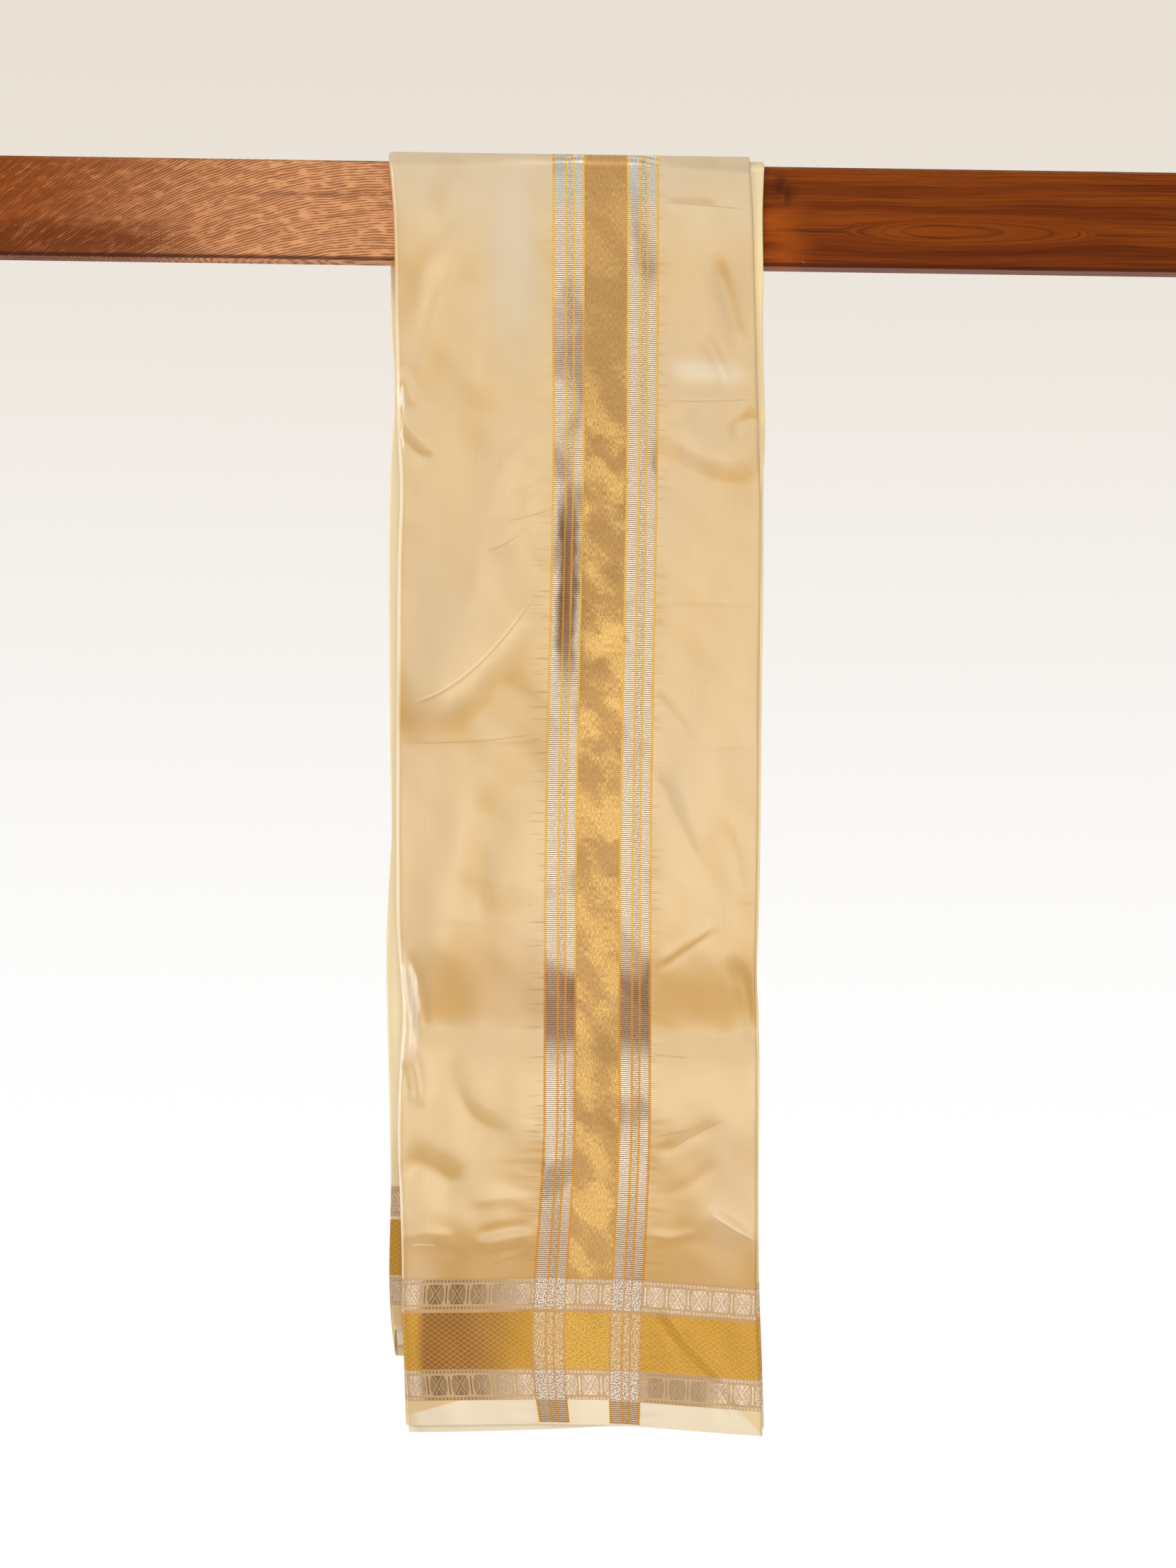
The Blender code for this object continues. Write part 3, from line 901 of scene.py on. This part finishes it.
class Weave:
    """Where a point lies on the woven cloth, and the noises that the cloth's colours share."""

    def __init__(self, n):
        self.n = n
        self.across, self.front_hem, self.back_hem = n.split(n.kept("cut"))
        self.dip, self.turn, self.from_fold = n.split(n.kept("form"))
        self.hem = n.math("MINIMUM", self.front_hem, self.back_hem)
        from_crown = (self.front_hem - CROWN_FROM_FRONT, self.back_hem - CROWN_FROM_BACK)
        self.crown = n.math("MINIMUM", *from_crown)
        self.crown_arc = n.ramp(self.crown, -0.004, 0.001)
        self.warp = self.noise(1700, 25, 0.0)
        self.weft = self.noise(25, 1700, 3.0)
        self.cloudy = self.noise(11, 6, 7.0, 2.0)
        self.grain = self.noise(850, 850, 11.0)
        self.wander = self.noise(60, 60, 5.0)
        self.streak = self.noise(1500, 260, 23.0, 2.0)
        self.rib = n.wave(self.front_hem, RIB_PITCH, self.wander * 5.0)
        edge = n.math("MINIMUM", self.across, BORDER_WIDTH - self.across)
        self.in_border = edge > (self.rib - 0.5) * TOOTH
        self.in_tissue = n.between(self.across, STRIPE_WIDTH, STRIPE_WIDTH + TISSUE_WIDTH)
        self.in_silver = self.in_border * (1.0 - self.in_tissue)
        outer_line = self.in_silver * (edge < GOLD_LINES[0][1])
        inner_lines = (n.between(self.across, *pair) for pair in GOLD_LINES[1:-1])
        self.gold_line = n.most(outer_line, *inner_lines)
        self.upper = n.between(self.hem, *UPPER_SILVER)
        self.lower = n.between(self.hem, *LOWER_SILVER)
        self.lattice = n.between(self.hem, *GOLD_LATTICE)
        self.in_band = n.most(self.upper, self.lower, self.lattice)
        slants = (
            abs(n.part(self.across / LATTICE_WIDTH + self.hem / LATTICE_HEIGHT, 1.0)) * 2,
            abs(n.part(self.across / LATTICE_WIDTH - self.hem / LATTICE_HEIGHT, 1.0)) * 2,
        )
        self.eye = n.most(*slants)
        self.mesh_lines = self.eye > 0.85

    def noise(self, across_scale, along_scale, layer, detail=1.0):
        """Noise on the flat cloth, with a scale of its own each way."""
        place = self.n.vector(self.across * across_scale, self.front_hem * along_scale, layer)
        return self.n.noise(place, detail=detail)

    def line(self, row):
        """A fine curved line on the front fall, from a row of a table of lines."""
        n = self.n
        start, end, low, middle, high, half_width = (value * MM for value in row)
        t = (self.across - start) * (1 / (end - start))
        bend = t * t * (2 * low - 4 * middle + 2 * high)
        level = bend + t * (4 * middle - 3 * low - high) + low
        near = n.ramp(abs(self.front_hem - level), half_width, half_width * 0.25)
        return near * n.ramp(t, 0.0, 0.2) * n.ramp(t, 1.0, 0.8)


def painted_fold_highlights(n, w):
    """Two painted highlights on the left fold, with streaky edges."""
    uneven = w.noise(0.0, 26, 31.0)
    streaks = w.noise(260, 30, 33.0, 1.5)
    low = n.window(w.front_hem, *HIGHLIGHT_LOW) * n.ramp(w.from_fold - uneven * 0.024, 0.0035, 0.0015)
    low = low * (0.30 + n.ramp(streaks, 0.40, 0.62) * 0.3)
    high = n.window(w.front_hem, *HIGHLIGHT_HIGH) * n.ramp(w.from_fold, 0.008, 0.004)
    return n.most(low, high * n.ramp(streaks, 0.50, 0.60)) * (w.turn < 1.2)


def hem_strip(n, w):
    """The plain strip at the hem, painted pale for the light that shows through it and painted darker
    where layers lie behind it, with one turned corner.
    """
    below_band = HEM_STRIP - w.hem
    # Painted shade where layers lie behind the thin silk
    wedge_shade = n.ramp((WEDGE_TIP - w.across) * WEDGE_SLOPE - below_band, -0.0004, 0.0004)
    wedge_shade = n.most(wedge_shade, n.ramp(w.across, -0.104, -0.112) * 0.6)
    corner = n.ramp(w.across - CORNER_START - below_band, -0.0005, 0.0005)
    corner = corner * (w.across < CORNER_END)
    return n.lay(paint(238, 222, 192), ((226, 194, 142), wedge_shade), ((232, 210, 156), corner))


def silk_ground(n, w, silk, silk_deep):
    """The silk itself: warp and weft threads, painted shade in the folds, painted sheen and highlights,
    and slow changes.
    """
    threads = n.mix(silk, silk_deep, n.ramp(w.warp * 0.5 + w.weft * 0.5, 0.30, 0.70) * 0.16)
    # Painted shade in the folds, with a warmer tone at random and near the end band, turns the silk to
    # its deeper colour
    near_band = n.ramp(w.hem + (w.cloudy - 0.5) * 0.06, 0.190, 0.130) * 0.95
    shade_and_warmth = n.ramp(w.dip + (w.cloudy - 0.5) * 0.7 + near_band, 0.36, 0.98)
    # A painted cool sheen near the top and over the rail
    cool_sheen = n.ramp(abs(w.across - SHEEN_ACROSS), 0.040, 0.0) * n.window(w.front_hem, *SHEEN_WINDOW)
    cool_sheen = n.most(cool_sheen, n.ramp(w.crown, -0.090, -0.010) * 0.7)
    smear = n.ramp(abs(w.front_hem - SMEAR_PLACE), 0.016, 0.0) * n.window(w.across, *SMEAR_WINDOW)
    # Painted shade in the small puckers beside the border, in short streaks
    left = n.ramp(w.across, -0.022, -0.001) * n.ramp(w.front_hem, 0.86, 0.70) * (w.across < 0)
    right = n.ramp(w.across, BORDER_WIDTH + 0.013, BORDER_WIDTH + 0.001) * 0.45 * (w.across > 0)
    painted_pucker_shade = n.ramp(w.noise(26, 300, 41.0, 1.5), 0.56, 0.66) * n.most(left, right)
    # A painted highlight along the rim of the left fold
    rim_highlight = n.window(w.turn, 0.20, 0.55, 1.0, 1.3) * n.ramp(w.front_hem, 1.05, 0.95)
    ground = n.lay(
        n.mix(threads, silk_deep, shade_and_warmth),
        ((218, 189, 152), n.ramp(w.noise(15, 6, 13.0), 0.44, 0.70) * 0.45),
        ((212, 202, 180), cool_sheen * 0.5),
        # Painted shade in thin creases and painted highlights along thin ridges
        *(((176, 134, 84), w.line(row) * 0.34) for row in SHADE_LINES),
        *(((244, 222, 184), w.line(row) * 0.42) for row in HIGHLIGHT_LINES),
        ((240, 229, 206), smear * 0.45),
        ((178, 136, 86), painted_pucker_shade * 0.55),
        # Painted light: the layers turned in behind the left fold are paler, for light that shows
        # through them
        ((244, 226, 184), n.ramp(w.turn, 1.1, 1.5)),
        ((255, 247, 232), rim_highlight * 0.55),
        ((250, 236, 214), painted_fold_highlights(n, w)),
        ((172, 128, 74), n.ramp(w.hem, 0.200, 0.140) * 0.22),
        # Painted shade over the rail's corner
        ((182, 166, 138), w.crown_arc * 0.5),
    )
    return n.mix(ground, hem_strip(n, w), n.ramp(w.hem, HEM_STRIP + 0.0006, HEM_STRIP - 0.0006))


def silver_and_lines(n, w):
    """The colours of a silver stripe and of its gold lines."""
    # The silver is dull at random, and painted shade darkens it in the folds, in a streak beside a ridge
    # and in the broad trough
    beside_streak = abs(w.across - SHADE_STREAK_ACROSS - (w.wander - 0.5) * 0.008)
    dull_and_shade = n.most(
        n.ramp(w.noise(22, 12, 17.0, 2.0), 0.50, 0.68) * 0.6,
        n.ramp(w.dip, 0.56, 0.84) * n.ramp(w.front_hem, 1.00, 0.92),
        n.ramp(w.hem, 0.24, 0.15) * 0.45,
        n.ramp(beside_streak, 0.0120, 0.0040) * n.window(w.front_hem, *SHADE_STREAK_WINDOW),
        n.ramp(abs(w.front_hem - TROUGH_PLACE), 0.042, 0.012) * 0.9,
    )
    narrow = n.most(*(n.between(w.across, *pair) for pair in NARROW_SILVER))
    silver = n.lay(
        n.mix(paint(144, 112, 76), paint(238, 223, 198), n.ramp(w.rib, 0.15, 0.75)),
        ((108, 64, 12), dull_and_shade * (0.80 + n.ramp(w.grain, 0.56, 0.70) * 0.18)),
        # Painted cool reflection on the silver near the top
        ((176, 178, 170), n.ramp(w.crown, -0.052, -0.022) * 0.7),
        ((255, 246, 230), n.ramp(w.grain, 0.44, 0.34) * (0.45 - dull_and_shade * 0.38)),
        ((132, 106, 78), narrow * n.ramp(w.grain, 0.47, 0.60) * 0.45),
    )
    lines = n.lay(
        n.mix(paint(190, 112, 18), paint(238, 184, 56), n.ramp(w.rib, 0.3, 0.7)),
        ((244, 204, 92), n.ramp(w.front_hem, 0.33, 0.46) * 0.45),
        ((168, 82, 18), dull_and_shade * 0.55),
    )
    return silver, lines


def tissue_colour(n, w):
    """The gold tissue, with brighter flares and glints of light painted on it, where its small dents
    would catch the light.
    """
    place = n.vector(w.across * 30 + w.front_hem * 14, w.front_hem * 26 + w.wander, 29.0)
    uneven = n.noise(place, detail=1.0) + (w.streak - 0.5) * 0.30
    lower = 0.25 + 0.75 * n.ramp(w.front_hem, 0.98, 0.86) - 0.30 * n.ramp(w.front_hem, 0.62, 0.40)
    flare = n.ramp(uneven, 0.42, 0.64) * lower
    glint = n.ramp(w.grain * 0.4 + w.streak * 0.6, 0.44, 0.60)
    return n.lay(
        n.mix(paint(176, 132, 74), paint(200, 156, 92), n.ramp(w.streak, 0.30, 0.70)),
        ((228, 182, 106), flare * 0.50),
        ((160, 116, 64), n.wave(w.across, TISSUE_LINE_PITCH) * (0.45 - flare * 0.25)),
        ((244, 200, 114), glint * (flare * 0.75 + 0.05)),
    )


def motif_yarn(n, w):
    """Where the yarn of the end band's crosses, bars and dots lies on top."""
    low_middle = sum(LOWER_SILVER) / 2
    rise = sum(UPPER_SILVER) / 2 - low_middle
    above = w.hem > GOLD_LATTICE[0]
    level = abs(w.hem - low_middle - above * rise)
    away = abs(n.part(w.across - (1.0 - above) * LOWER_SHIFT, MOTIF_PITCH)) * MOTIF_PITCH
    step_u = n.math("ROUND", away / THREAD) * (THREAD / MOTIF_HALF_WIDTH)
    step_v = n.math("ROUND", level / THREAD) * (THREAD / MOTIF_HALF_HEIGHT)
    outline = (step_u < 1.03) * (step_v < 1.03) * (step_u + step_v * 0.6 < 1.38)
    off_arm = step_u - step_v * 0.72
    diagonal = step_u * MOTIF_HALF_WIDTH + step_v * MOTIF_HALF_HEIGHT
    checks = n.math("FRACT", diagonal / (3 * THREAD)) < 0.62
    cross = n.most(off_arm < -0.26, n.between(off_arm, -0.15, 0.15), (off_arm > 0.25) * checks)
    bar = (away > MOTIF_PITCH / 2 - BAR_HALF_WIDTH) * (level < MOTIF_HALF_HEIGHT * 0.94)
    dot_place = abs(n.part(w.across, DOT_PITCH))
    dot_core = (dot_place < 0.10) * n.between(level, DOT_ROW[0] + THREAD, DOT_ROW[1] - THREAD)
    dots = n.between(level, *DOT_ROW) * (dot_place < 0.30) * (1.0 - dot_core)
    return n.most(outline * cross, bar, dots) * (1.0 - w.lattice)


def band_colour(n, w, yarn):
    """The end band: two silver bands of crosses and dots with a gold lattice between them."""
    low_band_shade = (w.hem < LOWER_SILVER[1]) * n.window(w.across, *LOW_BAND_SHADE_WINDOW)
    # Painted reflection on the yarn and the gold: brighter towards the right, with painted shade in a
    # patch of the lower band, and painted light on the left glint and on the turned-under strip
    painted_glare = n.ramp(w.across + (w.cloudy - 0.5) * 0.04, -0.062, 0.008) * (1.0 - low_band_shade * 0.75)
    left_glint = n.window(w.across, *LEFT_GLINT_WINDOW) * 0.9
    painted_glare = n.most(painted_glare, left_glint, n.ramp(w.turn, 1.1, 1.5) * 0.8)
    speckle = 0.40 + n.ramp(w.grain, 0.34, 0.60) * 0.60
    yarn_colour = n.mix(paint(122, 94, 58), paint(255, 232, 204), painted_glare * speckle)
    silver_band = n.mix(paint(194, 158, 110), paint(204, 168, 122), w.cloudy)
    spangle = 0.18 + n.ramp(w.noise(1500, 1500, 37.0), 0.46, 0.58) * 0.62
    gold = n.lay(
        n.mix(paint(134, 82, 10), paint(164, 106, 22), n.ramp(w.grain, 0.35, 0.65)),
        ((100, 56, 6), n.between(w.eye, 0.20, 0.46) * 0.6),
        ((202, 150, 78), n.most(w.mesh_lines, w.eye < 0.16) * 0.75),
        ((252, 196, 62), painted_glare * spangle),
    )
    return n.mix(n.mix(silver_band, yarn_colour, yarn * 0.92), gold, w.lattice)


def border_over_band(n, w, band, lines):
    """The end band's colour where the border crosses it."""
    glitter = n.mix(paint(150, 116, 78), paint(248, 240, 230), n.ramp(w.grain, 0.44, 0.56))
    golden = n.mix(paint(176, 112, 26), paint(250, 206, 96), n.ramp(w.streak, 0.44, 0.56))
    glitter = n.mix(glitter, golden, w.lattice * 0.45)
    glitter = n.mix(glitter, lines, w.gold_line * 0.6)
    crossing = n.mix(band, glitter, w.in_silver * (0.55 + 0.35 * n.ramp(w.streak, 0.40, 0.55)))
    gold_share = n.ramp(w.grain, 0.46, 0.60) * 0.6 * w.lattice
    return n.mix(crossing, n.mix(band, paint(248, 206, 100), gold_share), w.in_tissue)


def silk_material(name, silk, silk_deep):
    """Satin silk with its woven border and end bands, read from each point's place on the cut."""
    made = bpy.data.materials.new(name)
    n = Nodes(made)
    w = Weave(n)
    silver, lines = silver_and_lines(n, w)
    stripe = n.mix(silver, lines, w.gold_line)
    yarn = motif_yarn(n, w)
    crossing = border_over_band(n, w, band_colour(n, w, yarn), lines)
    above_band = 1.0 - (w.hem < UPPER_SILVER[1])
    strip_stripes = n.between(w.hem, BARE_HEM, LOWER_SILVER[0]) * w.in_silver
    strip_silver = n.mix(silver, paint(116, 86, 56), 0.12)
    strip_middle = n.mix(paint(246, 233, 202), paint(226, 206, 166), n.wave(w.across, RULED_PITCH) * 0.5)
    colour = silk_ground(n, w, silk, silk_deep)
    for coat, share in (
        (n.mix(stripe, tissue_colour(n, w), w.in_tissue), w.in_border * above_band),
        (n.mix(strip_silver, lines, w.gold_line), strip_stripes),
        (strip_middle, w.in_tissue * (w.hem < LOWER_SILVER[0])),
        (crossing, w.in_band),
        (paint(128, 90, 48), n.ramp(w.hem, 0.132, 0.128) * 0.17),
    ):
        colour = n.mix(colour, coat, share)
    metal = n.most(
        0.30,
        w.in_silver * above_band * (0.66 - w.gold_line * 0.26),
        strip_stripes * 0.75,
        w.in_tissue * above_band * 0.55,
        w.lattice * 0.45,
        yarn * n.most(w.upper, w.lower) * 0.40,
        w.in_silver * w.in_band * 0.50,
    )
    fabric = n.wave(w.across, FABRIC_PITCH) * 0.5 + n.wave(w.front_hem, FABRIC_PITCH) * 0.5
    relief = (
        fabric * 0.06
        + w.warp * 0.05
        + w.in_silver * n.ramp(w.rib, 0.2, 0.8) * 0.6
        + w.gold_line * w.rib * 0.4
        + w.in_border * w.grain * 0.25
        + yarn * 0.35
        + w.lattice * w.mesh_lines * 0.35
    )
    n.surface(
        colour,
        0.36 + w.cloudy * 0.04 + w.crown_arc * 0.42,
        metal * (1.0 - w.crown_arc * 0.75),
        n.bump(relief, BUMP_DEPTH),
        sheen_weight=0.22,
        sheen_roughness=0.35,
        sheen_tint=paint(226, 226, 222),
    )
    return made


# Places on the rail's front: the long eye in the grain with its half length and half height, the
# knot, the light blaze under it, the hatched patch and the scratches
EYE_PLACE = (0.331, -0.012)
EYE_SIZE = (0.112, 0.0105)
KNOT_PLACE = (0.166, 0.024)
PATCH = ((-0.428, -0.372), (-0.037, -0.022))
SCRATCH_PLACE = 0.19


def wood_material():
    """Oiled timber: rough sawn and lighter to the left, planed and darker to the right."""
    made = bpy.data.materials.new("oiled_timber")
    n = Nodes(made)
    x, y, z = n.split(n.place("Object"))
    planed = n.ramp(x, -0.10, 0.08)

    def drawn_out(along, across, level, detail=2.0, rough=0.5):
        """Noise with one scale along the rail and another one across the grain."""
        place = n.vector(x * along, y * across, level * across)
        return n.noise(place, detail=detail, rough=rough)

    # Grain runs along the rail and parts round one long eye on the planed side
    along = (x - EYE_PLACE[0]) / EYE_SIZE[0]
    bulge = n.most(1.0 - along * along, 0.0) * EYE_SIZE[1] * EYE_SIZE[1]
    level = z - EYE_PLACE[1]
    outside = n.math("SQRT", n.most(level * level - bulge, 0.0))
    within = n.math("SQRT", n.most(bulge - level * level, 0.0))
    flow = outside * n.math("SIGN", level) + within * 0.8 + drawn_out(5, 9, z) * 0.012
    coarse = drawn_out(2.2, 60, flow, 4.0, 0.6)
    fine = drawn_out(9, 420, flow, 3.0, 0.6)
    pores = n.ramp(drawn_out(40, 900, flow), 0.62, 0.74)
    across_knot, above_knot = x - KNOT_PLACE[0], z - KNOT_PLACE[1]
    knot = n.math("SQRT", across_knot * across_knot * 1.6 + above_knot * above_knot)
    smudge = n.noise(n.vector(x * 160, y * 90, z * 60), detail=3.0)
    blaze = n.ramp(abs(across_knot + (coarse - 0.5) * 0.07), 0.030, 0.0) * n.ramp(z, 0.026, -0.008)
    dark = n.lay(
        n.mix(paint(96, 36, 4), paint(142, 66, 12), n.ramp(coarse, 0.26, 0.72)),
        ((58, 20, 2), n.ramp(fine, 0.52, 0.72) * 0.6),
        ((70, 26, 4), n.ramp(drawn_out(7, 1100, flow), 0.50, 0.64) * 0.5),
        ((44, 16, 4), n.ramp(abs(outside - 0.0010), 0.0011, 0.0) * 0.45),
        ((184, 88, 20), blaze * 0.42),
        ((60, 28, 14), n.ramp(knot, 0.020, 0.004) * n.ramp(smudge, 0.30, 0.62) * 0.8),
    )

    # Saw marks lean to the right and flatten out towards the cloth
    lean = x * 0.80 - (x + 0.52) * (x + 0.52) * 1.15
    saw_level = z - lean + drawn_out(30, 30, z) * 0.006
    saw = n.noise(n.vector(x * 14, y * 60, saw_level * 520), detail=3.0, rough=0.6)
    saw_fine = n.noise(n.vector(x * 90, y * 90, saw_level * 700), detail=2.0)
    saw_break = n.ramp(n.noise(n.vector(x * 75, y * 60, z * 150), detail=2.0), 0.30, 0.58)
    saw_lines = n.wave(saw_level + saw * 0.0024, 0.0024) * (0.20 + saw_break * 0.25)
    saw_mark = saw_lines + saw_fine * 0.62
    low_stain = n.ramp(x, -0.33, -0.42) * n.ramp(z + (coarse - 0.5) * 0.03, -0.006, -0.026)
    patch = n.between(x, *PATCH[0]) * n.between(z, *PATCH[1])
    hatch = n.ramp(n.most(n.wave(x, 0.0044), n.wave(z, 0.0038)), 0.90, 0.99)
    tone = n.ramp(x + (coarse - 0.5) * 0.20, -0.54, -0.24)
    rough = n.lay(
        n.mix(paint(150, 76, 28), paint(220, 154, 106), tone),
        ((112, 54, 22), n.most(low_stain * 0.75, n.ramp(coarse, 0.52, 0.75) * 0.5)),
        ((96, 42, 14), n.ramp(saw_mark, 0.46, 0.72) * 0.62),
        # Painted highlights on the ridges between the saw marks
        ((228, 168, 120), n.ramp(saw_mark, 0.34, 0.20) * 0.34),
        ((88, 36, 12), n.ramp(fine, 0.62, 0.80) * 0.7),
        ((110, 58, 30), patch * hatch * saw * 0.9),
    )

    # Scratches, rubbed edges, and painted shade along the rail's lower edge
    scratch_place = n.vector((x + z * 0.8) * 700, (z - x) * 30, 3.0)
    scratch = n.ramp(n.noise(scratch_place, detail=1.0), 0.70, 0.76) * n.ramp(z, -0.030, -0.041)
    scratch = scratch * n.ramp(abs(x - SCRATCH_PLACE), 0.06, 0.02)
    worn = n.ramp(drawn_out(50, 50, z, 3.0), 0.45, 0.70)
    top_edge = n.ramp(z, RAIL_TOP - 0.0032, RAIL_TOP - 0.0012)
    # Painted shade along the lower edge, where the rail turns under
    low_edge_shade = n.window(z, -RAIL_TOP, -RAIL_TOP + 0.001, -RAIL_TOP + 0.0026, -RAIL_TOP + 0.0048)
    colour = n.lay(
        n.mix(rough, dark, planed),
        ((226, 196, 176), scratch * 0.6),
        ((126, 98, 66), top_edge * (0.35 + worn * 0.4)),
        ((70, 30, 18), low_edge_shade * 0.8),
    )
    relief = fine * 0.3 + pores * -0.3 - n.ramp(saw_mark, 0.40, 0.70) * (1.0 - planed)
    n.surface(
        colour,
        n.ramp(fine, 0.2, 0.9) * 0.12 + 0.50 - planed * 0.08,
        0.0,
        n.bump(relief, 0.0006),
        specular_ior_level=0.06,
    )
    return made


def make_floor():
    """A pale round floor under the cloth, outside the camera's view."""
    bpy.ops.mesh.primitive_circle_add(vertices=96, radius=1.9, fill_type="NGON", location=(0, 0, -1.6))
    floor = bpy.context.object
    floor.name = "floor"
    pale = bpy.data.materials.new("pale_floor")
    n = Nodes(pale)
    cloudy = n.noise(n.place("Object"), scale=1.4, detail=3.0)
    n.surface(n.mix(paint(240, 238, 234), paint(246, 244, 240), cloudy), 0.7)
    floor.data.materials.append(pale)


def make_world():
    """A pale backdrop that turns from cream at the top to white, and soft light from all round."""
    world = bpy.data.worlds.new("pale_studio")
    bpy.context.scene.world = world
    n = Nodes(world)
    _, ahead, up = n.split(n.place("Generated"))
    seen = n.mix(paint(255, 255, 255), paint(233, 224, 212), n.ramp(up, -0.10, 0.20))
    behind = n.ramp(ahead, -0.50, 0.10)
    glow = n.mix((0.34, 0.34, 0.35, 1.0), (1.05, 1.03, 1.0, 1.0), behind)
    lit = n.mix(glow, (0.80, 0.79, 0.78, 1.0), n.ramp(up, 0.25, 0.80) * 0.6)
    lit = n.mix(lit, (0.62, 0.61, 0.59, 1.0), n.ramp(up, -0.20, -0.70) * 0.7)
    path = n.node("ShaderNodeLightPath")
    background = n.node("ShaderNodeBackground")
    n.put(n.mix(lit, seen, path.outputs["Is Camera Ray"]), background.inputs["Color"])
    end = n.node("ShaderNodeOutputWorld")
    n.tree.links.new(background.outputs[0], end.inputs["Surface"])


def make_light(name, place, target, size, power, colour=(1.0, 1.0, 1.0)):
    """A square soft light that looks at a target."""
    light = bpy.data.lights.new(name, "AREA")
    light.shape = "RECTANGLE"
    light.size, light.size_y = size
    light.energy = power
    light.color = colour
    made = bpy.data.objects.new(name, light)
    made.location = place
    direction = np.array(target) - np.array(place)
    yaw = math.atan2(direction[0], -direction[1])
    tilt = math.atan2(math.hypot(direction[0], direction[1]), -direction[2])
    made.rotation_euler = (tilt, 0.0, math.pi + yaw)
    bpy.context.scene.collection.objects.link(made)


# The photograph's view: image size, metres for one pixel at the rail's face, and the camera's
# distance from that face, its height and its roll
IMAGE_SIZE = (1659, 2212)
PIXEL = 0.000629
CAMERA_DISTANCE = 3.7
CAMERA_HEIGHT = -0.506
CAMERA_ROLL = 0.84
SENSOR = 36.0


def make_camera():
    """Looks straight at the rail from the front, at the photograph's height and roll."""
    data = bpy.data.cameras.new("camera")
    data.sensor_width = SENSOR
    data.lens = SENSOR * CAMERA_DISTANCE / (IMAGE_SIZE[1] * PIXEL)
    data.clip_end = 50.0
    camera = bpy.data.objects.new("camera", data)
    camera.location = (0.0, -RAIL_FACE - CAMERA_DISTANCE, CAMERA_HEIGHT)
    camera.rotation_euler = (math.pi / 2, -math.radians(CAMERA_ROLL), 0.0)
    bpy.context.scene.collection.objects.link(camera)
    bpy.context.scene.camera = camera


make_camera()
make_world()
make_floor()
TARGET = (0.0, 0.0, -0.5)
make_light("key_light", (-0.5, -2.8, 2.2), TARGET, (1.8, 1.5), 50.0, (1.0, 0.98, 0.95))
make_light("front_light", (0.6, -4.4, -0.9), TARGET, (2.0, 2.0), 29.0)
make_light("side_light", (-2.5, -2.0, -0.3), TARGET, (0.8, 2.4), 28.0)
bpy.context.scene.view_settings.view_transform = "Standard"

outer_silk = silk_material("outer_silk", paint(224, 194, 146), paint(200, 157, 92))
# The layers under the outer one are the same silk, painted lighter for the light that shows through them
under_silk = silk_material("under_silk", paint(248, 224, 168), paint(236, 204, 140))
outer = outer_layer(outer_silk)
middle = middle_layers(under_silk)
innermost = innermost_layer(under_silk)
for piece in (outer, middle, innermost):
    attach(piece, "root")
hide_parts("outer_front_fall", "outer_over_rail", "outer_back_fall")
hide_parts("under_front_fall", "under_over_rail", "under_back_fall")

timber = wood_material()
for slot in rail.material_slots:
    slot.material = timber
